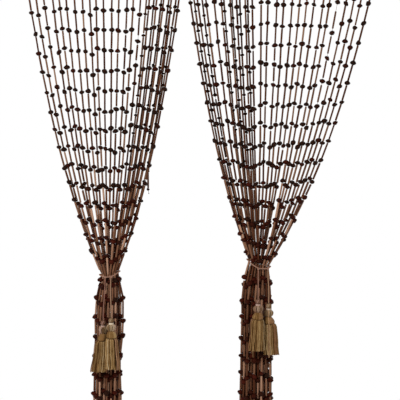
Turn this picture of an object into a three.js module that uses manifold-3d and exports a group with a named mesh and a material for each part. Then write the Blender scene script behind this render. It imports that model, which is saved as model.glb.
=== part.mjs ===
// A bead curtain for a doorway, parted and tied back on both sides.
// Millimetres, +Z up, the front of the curtain faces -Y. The origin is the middle of the top edge.
//
// The strands of each half hang from a narrow wooden heading strip, gather at a waist where a cord
// ties them back, and hang on as a bundle. Two short tail cords with a tassel each hang from each tie.
// Every strand is a square rod here: its tubes and beads are surface detail.

import * as THREE from "three";
import { mergeVertices } from "three/addons/utils/BufferGeometryUtils.js";
import Module from "manifold-3d";

// Driving dimensions of the whole curtain
const OVERALL_WIDTH = 900;
const DROP = 1800;
const PARTING_X = -38.2;
const CLEARANCE = 0.4;

// The heading strip
const STRIP_HEIGHT = 20;
const STRIP_DEPTH = 16;

// The strands
const STRAND_WIDTH = 4.4;
const FRONT_ROW_Y = -3.5;
const BACK_ROW_Y = 4;
// Back strands swing clear of the front ones, and turn in to their roots over the last of their opening
const BACK_ROW_SWING = 10;
const SWING_END = 0.8;
const ROOT_DEPTH = 10;
const ROOT_JITTER = 2.4;
const END_JITTER = 12;
const GATHER = 2;
const SLOT_PITCH_Y = 7.4;
const SLOT_STAGGER_Y = 1.85;
const BUNDLE_SPREAD_Y = 1.45;
const WAIST_SLANT = 0.1;
const BUNDLE_SLANT = 0.32;
const BUNDLE_EASE = 105;
// Below the tie each strand winds a little about its own line
const SWAY = 0.8;
const SWAY_LENGTH = 330;
const SWAY_START = 6;

// Where each strand has its corners: shares of the way from the tie up to the strip, then mm below the tie
const SHARES_ABOVE_TIE = [1, 0.96, 0.8, 0.6, 0.42, 0.27, 0.14, 0.05, 0];
const DROPS_BELOW_TIE = [35, 95, 200, 400, 650];

// The cords
const CORD_DIAMETER = 3;
const CORD_SIDES = 8;
const TIE_STEPS = 26;
const TAIL_STEPS = 14;
const TAIL_FORWARD = 1;
const KNOT_DEPTH_SHARE = 0.85;
const KNOT_SEGMENTS = 10;
const KNOT_RINGS = 6;

// One row for each half. halfWidth is that of the waist between its outermost strands; the tie's plane
// leans by slope, and the tie dips at the front, where the tassels pull on it.
const HALVES = [
  {
    side: "left",
    seed: 400,
    stripFrom: -OVERALL_WIDTH / 2,
    stripTo: PARTING_X - CLEARANCE / 2,
    firstRoot: -438.5,
    lastRoot: -41.5,
    frontCount: 21,
    backRoots: [-128, -108, -88, -68.5, -50],
    columns: [2, 3, 4, 4, 4, 4, 3, 2],
    waist: { x: -225.6, z: -772, halfWidth: 19.2 },
    tie: { halfWidth: 25.5, halfDepth: 20, slope: 0.175, dip: 9 },
    bundle: { x: -231, halfWidth: 30 },
    stray: { across: 1, shift: 5.5 },
    loose: [
      { x: -66, y: BACK_ROW_Y, z: -ROOT_DEPTH },
      { x: -68.5, y: 6, z: -45 },
      { x: -80, y: 11, z: -170 },
      { x: -94, y: 12.5, z: -280 },
      { x: -111, y: 13, z: -395 },
      { x: -126, y: 13, z: -480 },
      { x: -131, y: 13, z: -522 },
      { x: -128.5, y: 13, z: -575 },
    ],
  },
  {
    side: "right",
    seed: 450,
    stripFrom: PARTING_X + CLEARANCE / 2,
    stripTo: OVERALL_WIDTH / 2,
    firstRoot: -35.4,
    lastRoot: 442.5,
    frontCount: 24,
    backRoots: [-25, -4, 54.5, 75.5, 96.5, 117.5],
    columns: [2, 3, 4, 4, 4, 4, 4, 3, 2],
    waist: { x: 146.75, z: -747, halfWidth: 22.4 },
    tie: { halfWidth: 29.4, halfDepth: 20.4, slope: -0.315, dip: 12.5 },
    bundle: { x: 139.4, halfWidth: 35 },
    stray: { across: -1, shift: -4.5 },
    loose: null,
  },
];

// One row for each tassel: the tail cord runs along route, and the tassel hangs from its last point.
// knot is the radius of the knot at the tail's start. Widths are radii; lean shifts the skirt's hem.
const TASSELS = [
  {
    name: "left_a",
    side: "left",
    knot: 3.4,
    angle: 249,
    route: [
      { x: -235.4, y: -26, z: -800 },
      { x: -236.8, y: -31, z: -826 },
      { x: -238.3, y: -36, z: -855 },
      { x: -239, y: -38.8, z: -874 },
      { x: -239, y: -39.2, z: -886.9 },
    ],
    ball: 11.2,
    dome: 12,
    hemWidth: 19,
    lean: -8,
  },
  {
    name: "left_b",
    side: "left",
    knot: 4.4,
    angle: 279,
    route: [
      { x: -221.3, y: -29, z: -798 },
      { x: -220.8, y: -38, z: -822 },
      { x: -219.4, y: -48, z: -848 },
      { x: -218.4, y: -54.6, z: -868 },
      { x: -218.2, y: -55.5, z: -879.3 },
    ],
    ball: 11.8,
    dome: 13.6,
    hemWidth: 16.5,
    lean: 3,
  },
  {
    name: "right_a",
    side: "right",
    knot: 3.8,
    angle: 267,
    route: [
      { x: 144.4, y: -28.5, z: -779 },
      { x: 144, y: -37.5, z: -795 },
      { x: 143.4, y: -46.5, z: -811 },
      { x: 143, y: -52, z: -823.5 },
      { x: 142.9, y: -53, z: -833.3 },
    ],
    ball: 12.8,
    dome: 15,
    hemWidth: 19.5,
    lean: -4,
  },
  {
    name: "right_b",
    side: "right",
    knot: 3.8,
    angle: 316,
    route: [
      { x: 168.8, y: -21.5, z: -780 },
      { x: 169.8, y: -28, z: -800 },
      { x: 170.1, y: -34.5, z: -820 },
      { x: 169.8, y: -38, z: -833 },
      { x: 169.7, y: -38.5, z: -842.6 },
    ],
    ball: 12,
    dome: 12.8,
    hemWidth: 19,
    lean: 6,
  },
];

// The heights of a tassel's parts, measured down from the top of its knob
const TASSEL = {
  knobRadius: 7.2,
  knobHeight: 13.5,
  collarRadius: 5.4,
  collarDrop: 15,
  ballDrop: 24,
  ballHalfHeight: 8.6,
  neckRadius: 5,
  neckDrop: 34,
  domeDrop: 46,
  domeShoulder: 0.8,
  bandDrop: 50,
  bandShare: 0.94,
  rootDrop: 48,
  length: 128,
  segments: 12,
};
const LOCK_RADIUS = 1.85;
const LOCK_STEPS = 3;
const HEM_JITTER = 3;
// A skirt's depth from front to back, as shares of the dome's radius at its root and at its hem
const SKIRT_DEPTH = { root: 0.95, hem: 0.83 };
// The rings of locks in a skirt: a share of its radius, and how many locks stand there
const LOCK_RINGS = [
  { share: 0.88, count: 16 },
  { share: 0.5, count: 9 },
  { share: 0.14, count: 3 },
];

const FINISHES = {
  strands: { color: 0x60483a, roughness: 0.55, metalness: 0 },
  cord: { color: 0x967d6e, roughness: 0.9, metalness: 0 },
  tassel: { color: 0x7d643c, roughness: 0.85, metalness: 0 },
};

const wasm = await Module();
wasm.setup();

// A repeatable uneven value from -1 to 1.
function uneven(seed) {
  const raised = Math.sin(seed * 127.1 + 311.7) * 43758.5453;
  return 2 * (raised - Math.floor(raised)) - 1;
}

function vector({ x, y, z }) {
  return new THREE.Vector3(x, y, z);
}

// A closed geometry as a solid that can be joined.
function solidOf(geometry) {
  const bare = new THREE.BufferGeometry().setAttribute(
    "position",
    (geometry.index ? geometry.toNonIndexed() : geometry).getAttribute("position"),
  );
  const merged = mergeVertices(bare, 1e-3);
  return new wasm.Manifold(
    new wasm.Mesh({
      numProp: 3,
      vertProperties: new Float32Array(merged.attributes.position.array),
      triVerts: new Uint32Array(merged.index.array),
    }),
  );
}

function joined(geometries) {
  return geometries.map(solidOf).reduce((sum, solid) => sum.add(solid));
}

function meshOf(name, solid, finish) {
  const made = solid.getMesh();
  const geometry = new THREE.BufferGeometry()
    .setAttribute("position", new THREE.BufferAttribute(made.vertProperties, 3))
    .setIndex(new THREE.BufferAttribute(made.triVerts, 1));
  geometry.computeVertexNormals();
  const material = new THREE.MeshStandardMaterial({ ...finish, flatShading: true });
  const mesh = new THREE.Mesh(geometry, material);
  mesh.name = name;
  return mesh;
}

// A regular polygon with its flat sides facing the axes.
function section(sides, radius) {
  const corners = Array.from({ length: sides }, (_, i) => {
    const angle = ((i + 0.5) / sides) * 2 * Math.PI;
    return new THREE.Vector2(radius * Math.cos(angle), radius * Math.sin(angle));
  });
  return new THREE.Shape(corners);
}

// A curve through given points that puts one step of a tube at each of them.
class Stations extends THREE.Curve {
  constructor(points) {
    super();
    this.points = points;
  }

  getPoint(share, target = new THREE.Vector3()) {
    const along = Math.min(Math.max(share, 0), 1) * (this.points.length - 1);
    const index = Math.min(Math.floor(along), this.points.length - 2);
    return target.lerpVectors(this.points[index], this.points[index + 1], along - index);
  }

  getPointAt(share, target) {
    return this.getPoint(share, target);
  }

  getTangentAt(share, target) {
    return this.getTangent(share, target);
  }
}

function rod(points, sides, radius) {
  return new THREE.ExtrudeGeometry(section(sides, radius), {
    steps: points.length - 1,
    extrudePath: new Stations(points),
  });
}

// The angle round the tie is counted from +X; the front is at 270 degrees.
function tiePoint(half, degrees, outward = 0) {
  const angle = THREE.MathUtils.degToRad(degrees);
  const x = (half.tie.halfWidth + outward) * Math.cos(angle);
  const y = (half.tie.halfDepth + outward) * Math.sin(angle);
  return new THREE.Vector3(half.waist.x + x, y, tieHeight(half, x, y));
}

function tieHeight(half, x, y) {
  const front = Math.max(0, -y / half.tie.halfDepth);
  return half.waist.z + half.tie.slope * x - half.tie.dip * front * front;
}

// The strands of a half in the order of their roots, each with its place at the waist.
function strandsOf(half) {
  const pitch = (half.lastRoot - half.firstRoot) / (half.frontCount - 1);
  const roots = Array.from({ length: half.frontCount }, (_, i) => {
    const inside = i > 0 && i < half.frontCount - 1;
    const shift = inside ? ROOT_JITTER * uneven(half.firstRoot + i) : 0;
    return { x: half.firstRoot + pitch * i + shift, y: FRONT_ROW_Y };
  });
  roots.push(...half.backRoots.map((x) => ({ x, y: BACK_ROW_Y })));
  roots.sort((a, b) => a.x - b.x);
  const strands = [];
  half.columns.forEach((count, column) => {
    const gathered = roots.splice(0, count).sort((a, b) => a.y - b.y);
    const across = (2 * column) / (half.columns.length - 1) - 1;
    const stagger = count === 4 ? SLOT_STAGGER_Y * (column % 2 ? 1 : -1) : 0;
    gathered.forEach((root, row) => {
      strands.push({
        root,
        row,
        across,
        slotY: (row - (count - 1) / 2) * SLOT_PITCH_Y + stagger,
        seed: half.seed + strands.length,
      });
    });
  });
  return strands;
}

// Where a strand passes the tie, from the middle of the waist.
function waistX(half, strand) {
  return half.waist.halfWidth * strand.across + WAIST_SLANT * strand.slotY;
}

// A point of a strand above the tie, at a share of the way up to the strip.
function pointAbove(half, strand, share) {
  const x = waistX(half, strand);
  const low = tieHeight(half, x, strand.slotY);
  const open = Math.log(1 + GATHER * share) / Math.log(1 + GATHER);
  const behind = strand.root.y > 0;
  const swung = behind ? BACK_ROW_SWING : strand.root.y;
  const turned = Math.max(0, (open - SWING_END) / (1 - SWING_END));
  return new THREE.Vector3(
    THREE.MathUtils.lerp(half.waist.x + x, strand.root.x, open),
    THREE.MathUtils.lerp(strand.slotY, swung, open) + (strand.root.y - swung) * turned,
    THREE.MathUtils.lerp(low, -ROOT_DEPTH, share),
  );
}

// A point of a strand in the bundle, that far below the tie.
function pointBelow(half, strand, drop) {
  const opened = 1 - Math.exp(-drop / BUNDLE_EASE);
  const middle = THREE.MathUtils.lerp(half.waist.x, half.bundle.x, opened);
  const reach = THREE.MathUtils.lerp(half.waist.halfWidth, half.bundle.halfWidth, opened);
  const depth = strand.slotY * THREE.MathUtils.lerp(1, BUNDLE_SPREAD_Y, opened);
  const slant = depth * THREE.MathUtils.lerp(WAIST_SLANT, BUNDLE_SLANT, opened);
  const strays = strand.across === half.stray.across && strand.row === 0;
  const stray = strays ? half.stray.shift * opened : 0;
  const turn = (2 * Math.PI * drop) / SWAY_LENGTH + SWAY_START * uneven(strand.seed + 7);
  const sway = SWAY * opened;
  return new THREE.Vector3(
    middle + reach * strand.across + slant + stray + sway * Math.sin(turn),
    depth + sway * Math.cos(turn),
    tieHeight(half, waistX(half, strand), strand.slotY) - drop,
  );
}

function strandPoints(half, strand) {
  const atTie = tieHeight(half, waistX(half, strand), strand.slotY);
  const full = DROP + atTie - (END_JITTER / 2) * (1 + uneven(strand.seed));
  return [
    ...SHARES_ABOVE_TIE.map((share) => pointAbove(half, strand, share)),
    ...[...DROPS_BELOW_TIE, full].map((drop) => pointBelow(half, strand, drop)),
  ];
}

function strip(half) {
  const width = half.stripTo - half.stripFrom;
  const box = new THREE.BoxGeometry(width, STRIP_DEPTH, STRIP_HEIGHT);
  return box.translate((half.stripFrom + half.stripTo) / 2, 0, -STRIP_HEIGHT / 2);
}

function makeStrands(half) {
  const radius = STRAND_WIDTH / Math.SQRT2;
  const paths = strandsOf(half).map((strand) => strandPoints(half, strand));
  if (half.loose) paths.push(half.loose.map(vector));
  const rods = paths.map((points) => rod(points, 4, radius));
  return meshOf("strands_" + half.side, joined([strip(half), ...rods]), FINISHES.strands);
}

function knotCentre(half, tassel) {
  return tiePoint(half, tassel.angle, CORD_DIAMETER / 2);
}

function knotGeometry(half, tassel) {
  const centre = knotCentre(half, tassel);
  const ball = new THREE.SphereGeometry(tassel.knot, KNOT_SEGMENTS, KNOT_RINGS);
  return ball.scale(1, KNOT_DEPTH_SHARE, 1).translate(centre.x, centre.y, centre.z);
}

// The loop round the waist, closed by the larger knot, with the smaller knot beside it.
function makeTie(half) {
  const own = TASSELS.filter((tassel) => tassel.side === half.side);
  const start = own[1].angle;
  const loop = Array.from({ length: TIE_STEPS + 1 }, (_, i) =>
    tiePoint(half, start + (360 * i) / TIE_STEPS),
  );
  const knots = own.map((tassel) => knotGeometry(half, tassel));
  const cord = rod(loop, CORD_SIDES, CORD_DIAMETER / 2);
  return meshOf("tie_" + half.side, joined([cord, ...knots]), FINISHES.cord);
}

function tailCurve(half, tassel) {
  const knot = knotCentre(half, tassel);
  const top = knot.z - tassel.knot - CLEARANCE;
  const start = new THREE.Vector3(knot.x, knot.y - TAIL_FORWARD, top);
  return new THREE.CatmullRomCurve3([start, ...tassel.route.map(vector)], false, "centripetal");
}

function makeTail(half, tassel) {
  const points = tailCurve(half, tassel).getSpacedPoints(TAIL_STEPS);
  const cord = rod(points, CORD_SIDES, CORD_DIAMETER / 2);
  return meshOf("tail_" + tassel.name, solidOf(cord), FINISHES.cord);
}

// The turned outline of a tassel's head, from its top on the axis to its underside.
function headOutline(tassel) {
  const { knobRadius, knobHeight, collarRadius, collarDrop } = TASSEL;
  const { ballDrop, ballHalfHeight, neckRadius, neckDrop } = TASSEL;
  const { domeDrop, domeShoulder, bandDrop, bandShare } = TASSEL;
  const points = [new THREE.Vector2(0, 0)];
  for (const share of [0.25, 0.6]) {
    const angle = share * Math.PI;
    const drop = (knobHeight / 2) * (1 - Math.cos(angle));
    points.push(new THREE.Vector2(knobRadius * Math.sin(angle), -drop));
  }
  points.push(new THREE.Vector2(collarRadius, -knobHeight));
  points.push(new THREE.Vector2(collarRadius, -collarDrop));
  for (const share of [0.25, 0.5, 0.75]) {
    const angle = share * Math.PI;
    const drop = ballDrop - ballHalfHeight * Math.cos(angle);
    points.push(new THREE.Vector2(tassel.ball * Math.sin(angle), -drop));
  }
  points.push(new THREE.Vector2(neckRadius, -neckDrop));
  points.push(new THREE.Vector2(tassel.dome * domeShoulder, -(neckDrop + domeDrop) / 2));
  points.push(new THREE.Vector2(tassel.dome, -domeDrop));
  points.push(new THREE.Vector2(tassel.dome * bandShare, -bandDrop));
  points.push(new THREE.Vector2(0, -bandDrop));
  return points;
}

// The skirt's locks, from inside the dome down to an uneven hem.
function lockPaths(tassel) {
  const paths = [];
  for (const { share, count } of LOCK_RINGS) {
    for (let i = 0; i < count; i += 1) {
      const angle = ((i + share) / count) * 2 * Math.PI;
      const seed = 100 * share + i + tassel.hemWidth;
      const length = TASSEL.length - (HEM_JITTER / 2) * (1 + uneven(seed));
      const points = [];
      for (let step = 0; step <= LOCK_STEPS; step += 1) {
        const down = step / LOCK_STEPS;
        const belly = tassel.dome * share;
        const width = THREE.MathUtils.lerp(belly, tassel.hemWidth * share, down);
        const depth = belly * THREE.MathUtils.lerp(SKIRT_DEPTH.root, SKIRT_DEPTH.hem, down);
        points.push(
          new THREE.Vector3(
            width * Math.cos(angle) + tassel.lean * down * down,
            depth * Math.sin(angle),
            -THREE.MathUtils.lerp(TASSEL.rootDrop, length, down),
          ),
        );
      }
      paths.push(points);
    }
  }
  return paths;
}

function makeTassel(tassel) {
  const head = new THREE.LatheGeometry(headOutline(tassel).reverse(), TASSEL.segments);
  head.rotateX(Math.PI / 2);
  const locks = lockPaths(tassel).map((points) => rod(points, 3, LOCK_RADIUS));
  const solid = joined([head, ...locks]);
  const mesh = meshOf("tassel_" + tassel.name, solid, FINISHES.tassel);
  const end = tassel.route.at(-1);
  mesh.position.set(end.x, end.y, end.z - CLEARANCE);
  return mesh;
}

function makeCurtain() {
  const curtain = new THREE.Group();
  for (const half of HALVES) {
    curtain.add(makeStrands(half), makeTie(half));
    for (const tassel of TASSELS.filter(({ side }) => side === half.side)) {
      curtain.add(makeTail(half, tassel), makeTassel(tassel));
    }
  }
  return curtain;
}

export default makeCurtain();
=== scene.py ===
"""The looks of a doorway bead curtain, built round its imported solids.

Each half hangs from a wooden heading strip. Its strands carry long wooden tubes with a dark saucer bead
between every two, a cord ties them back at the waist, and two tassels hang from each tie on short cords.
Sizes are in millimetres, as in the part's own source, and become metres where a mesh is made.
"""

import functools
import logging
import math
from collections.abc import Callable, Iterable, Sequence
from dataclasses import dataclass, field
from enum import Enum

import bmesh
import bpy
import numpy as np
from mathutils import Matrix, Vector


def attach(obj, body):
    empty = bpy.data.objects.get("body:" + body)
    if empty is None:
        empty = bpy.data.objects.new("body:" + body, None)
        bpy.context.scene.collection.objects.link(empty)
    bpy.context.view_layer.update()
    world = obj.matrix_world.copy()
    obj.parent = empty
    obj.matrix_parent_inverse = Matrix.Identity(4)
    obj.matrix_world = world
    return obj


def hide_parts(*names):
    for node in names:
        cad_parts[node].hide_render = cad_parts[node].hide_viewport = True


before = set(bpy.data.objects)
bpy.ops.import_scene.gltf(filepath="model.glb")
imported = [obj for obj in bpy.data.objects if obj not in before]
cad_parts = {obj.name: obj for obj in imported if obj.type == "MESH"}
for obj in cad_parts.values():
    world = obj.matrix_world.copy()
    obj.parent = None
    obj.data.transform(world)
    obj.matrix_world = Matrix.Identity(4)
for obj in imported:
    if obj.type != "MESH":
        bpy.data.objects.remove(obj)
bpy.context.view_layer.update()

LOG = logging.getLogger("bead_curtain")
MM = 0.001
BODY = "root"

Material = bpy.types.Material
Mesh = bpy.types.Mesh
Object = bpy.types.Object
Socket = bpy.types.NodeSocket
Span = tuple[float, float]
Shade = tuple[float, float]
Point = tuple[float, float, float]
Colour = tuple[float, float, float, float]
Stops = tuple[tuple[float, tuple[int, int, int]], ...]


class Side(Enum):
    """Which half of the curtain a piece belongs to, seen from the front."""

    LEFT = "left"
    RIGHT = "right"


class Slot(Enum):
    """The record's material slots."""

    STRANDS = "strands"
    CORD = "cord"
    TASSEL = "tassel"


# Small helpers. The uneven values are those of the solids

HASH_STEP = 127.1
HASH_START = 311.7
HASH_RISE = 43758.5453


def uneven(seed: float) -> float:
    """A repeatable uneven value.

    Args:
        seed: Any number. The same seed gives the same value.

    Returns:
        A value from -1 to 1.
    """
    raised = math.sin(seed * HASH_STEP + HASH_START) * HASH_RISE
    return 2 * (raised - math.floor(raised)) - 1


def lerp(low: float, high: float, share: float) -> float:
    """The value at a share of the way from low to high."""
    return low + (high - low) * share


def eased(value: float, start: float, end: float) -> float:
    """A smooth step.

    Args:
        value: Where to read the step.
        start: Where it starts to rise from 0.
        end: Where it reaches 1.

    Returns:
        A value from 0 to 1.
    """
    share = min(max((value - start) / (end - start), 0.0), 1.0)
    return share * share * (3 - 2 * share)


def in_threes(index: int) -> int:
    """-1, 0 or 1, in turn."""
    return index % 3 - 1


def turn_between(first: float, second: float) -> float:
    """The angle between two directions, from 0 to 180 degrees."""
    return abs((first - second + 180) % 360 - 180)


# The two halves and their strands


@dataclass(frozen=True)
class Waist:
    """Where a half's strands are gathered: its middle, its height and half its width."""

    x: float
    z: float
    half_width: float


@dataclass(frozen=True)
class TieLoop:
    """The loop of a tie: half its width and depth, how far its plane leans, and its dip at the front."""

    half_width: float
    half_depth: float
    slope: float
    dip: float


@dataclass(frozen=True)
class BeadRows:
    """The heights of a half's bead rows.

    The rows above the tie start at first and close up a little towards the waist. Those of the bundle
    start at bundle_first and are evenly spaced.
    """

    first: float
    pitch: float
    closing: float
    count: int
    bundle_first: float
    bundle_pitch: float

    def heights(self, lowest: float) -> list[float]:
        """All rows from the heading down.

        Args:
            lowest: The height where the strands end.

        Returns:
            The rows' heights, highest first.
        """
        above = [self.first - self.pitch * k + self.closing * k**3 for k in range(-1, self.count)]
        rows = int((self.bundle_first - lowest) / self.bundle_pitch) + 1
        return above + [self.bundle_first - self.bundle_pitch * k for k in range(rows)]


@dataclass(frozen=True)
class Half:
    """One half of the curtain, with the sizes of its solids.

    The two hangs say how much lower than the rows each strand's beads are, from left to right. One front
    strand, counted from the left, is strung wider at its top, with its own heights for those beads. The
    tube tones are those of the open strands and of the gathered ones, which are lighter: painted light that
    offsets the shade in the crowded bundle. In the column at stray_across the front strand stands out by
    stray_shift just below the tie. A loose strand may hang beside the others.
    """

    side: Side
    seed: int
    strip: Span
    roots: Span
    front_hang: tuple[float, ...]
    back_roots: tuple[float, ...]
    back_hang: tuple[float, ...]
    wide_strand: int
    wide_beads: tuple[float, ...]
    columns: tuple[int, ...]
    waist: Waist
    tie: TieLoop
    bundle_x: float
    bundle_half_width: float
    rows: BeadRows
    tube_tones: Span
    stray_across: float = 0.0
    stray_shift: float = 0.0
    loose: tuple[Point, ...] = ()
    loose_beads: tuple[float, ...] = ()

    def named(self, stem: str) -> str:
        """The name of this half's own piece or solid."""
        return f"{stem}_{self.side.value}"

    def tie_height(self, x: float, y: float) -> float:
        """The height of the tie's plane.

        Args:
            x: Distance from the middle of the waist.
            y: Depth.

        Returns:
            The height there.
        """
        front = max(0.0, -y / self.tie.half_depth)
        return self.waist.z + self.tie.slope * x - self.tie.dip * front * front

    def tie_point(self, degrees: float, outward: float = 0.0) -> np.ndarray:
        """A point of the tie's loop.

        Args:
            degrees: The angle round the loop from +X. The front is at 270 degrees.
            outward: How far outside the loop's centreline the point lies.

        Returns:
            The point.
        """
        angle = math.radians(degrees)
        x = (self.tie.half_width + outward) * math.cos(angle)
        y = (self.tie.half_depth + outward) * math.sin(angle)
        return np.array([self.waist.x + x, y, self.tie_height(x, y)])


LEFT_HALF = Half(
    side=Side.LEFT,
    seed=400,
    strip=(-450.0, -38.4),
    roots=(-438.5, -41.5),
    front_hang=(8, 14, -8, 3, -5, 0, 2, 2, 10, -3, 0, -1, 1, 0, 0, -17, -6, -6, 0, 5, 0),
    back_roots=(-128.0, -108.0, -88.0, -68.5, -50.0),
    back_hang=(10, -8, -15, -11, -10),
    wide_strand=15,
    wide_beads=(-62, -126, -193, -254),
    columns=(2, 3, 4, 4, 4, 4, 3, 2),
    waist=Waist(-225.6, -772.0, 19.2),
    tie=TieLoop(25.5, 20.0, 0.175, 9.0),
    bundle_x=-231.0,
    bundle_half_width=30.0,
    rows=BeadRows(-116.3, 50.5, 0.015, 14, -796.5, 46.4),
    tube_tones=(0.42, 0.67),
    stray_across=1.0,
    stray_shift=8.5,
    loose=(
        (-66.0, 4.0, -10.0),
        (-68.5, 6.0, -45.0),
        (-80.0, 11.0, -170.0),
        (-94.0, 12.5, -280.0),
        (-111.0, 13.0, -395.0),
        (-126.0, 13.0, -480.0),
        (-131.0, 13.0, -522.0),
        (-128.5, 13.0, -575.0),
    ),
    loose_beads=(-108, -118, -174, -209, -273, -322, -368, -425, -471, -504, -517, -563),
)

RIGHT_HALF = Half(
    side=Side.RIGHT,
    seed=450,
    strip=(-38.0, 450.0),
    roots=(-35.4, 442.5),
    front_hang=(0, 3, 4, -4, 1, 5, 10, 9, 8, 0, 0, 4, 5, 3, 5, 1, 5, 8, 5, 4, 0, -8, 8, 0),
    back_roots=(-25.0, -4.0, 54.5, 75.5, 96.5, 117.5),
    back_hang=(18, -22, 18, -12, 24, 20),
    wide_strand=19,
    wide_beads=(-47, -97, -172, -237, -292, -355),
    columns=(2, 3, 4, 4, 4, 4, 4, 3, 2),
    waist=Waist(146.75, -747.0, 22.4),
    tie=TieLoop(29.4, 20.4, -0.315, 12.5),
    bundle_x=139.4,
    bundle_half_width=35.0,
    rows=BeadRows(-98.8, 50.7, 0.0053, 14, -794.0, 47.3),
    tube_tones=(0.36, 0.59),
)


@dataclass(frozen=True)
class Hang:
    """How every strand hangs.

    The fan and the place inside the tie are those of the solids. Below the tie the bundle opens sooner,
    as the photograph shows it.
    """

    drop: float = 1800.0
    front_y: float = -3.5
    back_y: float = 4.0
    back_swing: float = 10.0
    swing_end: float = 0.8
    root_depth: float = 10.0
    root_jitter: float = 2.4
    end_jitter: float = 12.0
    gather: float = 2.0
    slot_pitch: float = 7.4
    slot_stagger: float = 1.85
    full_column: int = 4
    bundle_spread: float = 1.45
    waist_slant: float = 0.1
    bundle_slant: float = 0.32
    bundle_ease: float = 40.0
    bundle_rise: float = 1.6
    deepen_ease: float = 105.0
    bundle_flare: Span = (1.0, 1.05)
    flare_drops: Span = (120.0, 330.0)
    stray_drops: Span = (150.0, 250.0)
    sway: float = 0.8
    sway_length: float = 330.0
    sway_start: float = 6.0
    sway_seed: int = 7
    fine_steps: int = 70


HANG = Hang()


@dataclass(frozen=True)
class Strand:
    """One gathered strand of a half, with its place at the heading and at the waist."""

    half: Half
    order: int
    root_x: float
    root_y: float
    hang: float
    wide: bool
    row: int
    across: float
    slot_y: float

    @property
    def seed(self) -> int:
        """The seed of everything uneven on this strand."""
        return self.half.seed + self.order

    @property
    def behind(self) -> bool:
        """Whether the strand hangs from the back row."""
        return self.root_y > 0

    def _waist_x(self) -> float:
        """Where it passes the tie, from the middle of the waist."""
        return self.half.waist.half_width * self.across + HANG.waist_slant * self.slot_y

    def above(self, share: float) -> Point:
        """A point above the tie.

        Args:
            share: The share of the way up from the tie to the heading.

        Returns:
            The point.
        """
        x = self._waist_x()
        low = self.half.tie_height(x, self.slot_y)
        opened = math.log(1 + HANG.gather * share) / math.log(1 + HANG.gather)
        swung = HANG.back_swing if self.behind else self.root_y
        turned = max(0.0, (opened - HANG.swing_end) / (1 - HANG.swing_end))
        return (
            lerp(self.half.waist.x + x, self.root_x, opened),
            lerp(self.slot_y, swung, opened) + (self.root_y - swung) * turned,
            lerp(low, -HANG.root_depth, share),
        )

    def below(self, drop: float) -> Point:
        """A point in the bundle.

        Args:
            drop: How far it is below the tie.

        Returns:
            The point.
        """
        half = self.half
        opened = 1 - math.exp(-((drop / HANG.bundle_ease) ** HANG.bundle_rise))
        deepened = 1 - math.exp(-drop / HANG.deepen_ease)
        middle = lerp(half.waist.x, half.bundle_x, deepened)
        flare = lerp(*HANG.bundle_flare, eased(drop, *HANG.flare_drops))
        reach = lerp(half.waist.half_width, half.bundle_half_width * flare, opened)
        depth = self.slot_y * lerp(1, HANG.bundle_spread, deepened)
        slant = depth * lerp(HANG.waist_slant, HANG.bundle_slant, opened)
        strays = self.across == half.stray_across and self.row == 0
        caught = eased(drop, *HANG.stray_drops)
        stray = half.stray_shift * opened * (1 - caught) if strays else 0.0
        turn = 2 * math.pi * drop / HANG.sway_length + HANG.sway_start * uneven(self.seed + HANG.sway_seed)
        sway = HANG.sway * opened
        return (
            middle + reach * self.across + slant + stray + sway * math.sin(turn),
            depth + sway * math.cos(turn),
            half.tie_height(self._waist_x(), self.slot_y) - drop,
        )

    def line(self) -> "StrandLine":
        """The strand's centreline from the heading to its end.

        Returns:
            The line.
        """
        at_tie = self.half.tie_height(self._waist_x(), self.slot_y)
        full = HANG.drop + at_tie - HANG.end_jitter / 2 * (1 + uneven(self.seed))
        shares = np.linspace(1, 0, HANG.fine_steps)
        drops = np.linspace(0, full, HANG.fine_steps)[1:]
        points = [self.above(s) for s in shares] + [self.below(d) for d in drops]
        return StrandLine(np.array(points))


class StrandLine:
    """A centreline that only goes down, read by height."""

    def __init__(self, points: np.ndarray) -> None:
        """Keeps the points, highest first."""
        self._rising = points[::-1]

    @property
    def lowest(self) -> float:
        """The height of its end."""
        return float(self._rising[0, 2])

    def at(self, z: float) -> np.ndarray:
        """The point of the line at a height."""
        x, y = (np.interp(z, self._rising[:, 2], self._rising[:, axis]) for axis in (0, 1))
        return np.array([x, y, z])


def strands_of(half: Half) -> list[Strand]:
    """A half's strands in the order of their roots.

    Args:
        half: The half.

    Returns:
        Its gathered strands. The loose strand isn't one of them.
    """
    first, last = half.roots
    last_index = len(half.front_hang) - 1
    roots = []
    for i, hang in enumerate(half.front_hang):
        shift = HANG.root_jitter * uneven(first + i) if 0 < i < last_index else 0.0
        x = first + (last - first) * i / last_index + shift
        roots.append((x, HANG.front_y, hang, i == half.wide_strand))
    roots += [(x, HANG.back_y, hang, False) for x, hang in zip(half.back_roots, half.back_hang)]
    roots.sort(key=lambda root: root[0])
    strands: list[Strand] = []
    for column, count in enumerate(half.columns):
        taken, roots = roots[:count], roots[count:]
        across = 2 * column / (len(half.columns) - 1) - 1
        stagger = HANG.slot_stagger * (1 if column % 2 else -1) if count == HANG.full_column else 0.0
        for row, (x, y, hang, wide) in enumerate(sorted(taken, key=lambda root: root[1])):
            slot_y = (row - (count - 1) / 2) * HANG.slot_pitch + stagger
            strands.append(Strand(half, len(strands), x, y, hang, wide, row, across, slot_y))
    return strands


# Node trees


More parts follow.
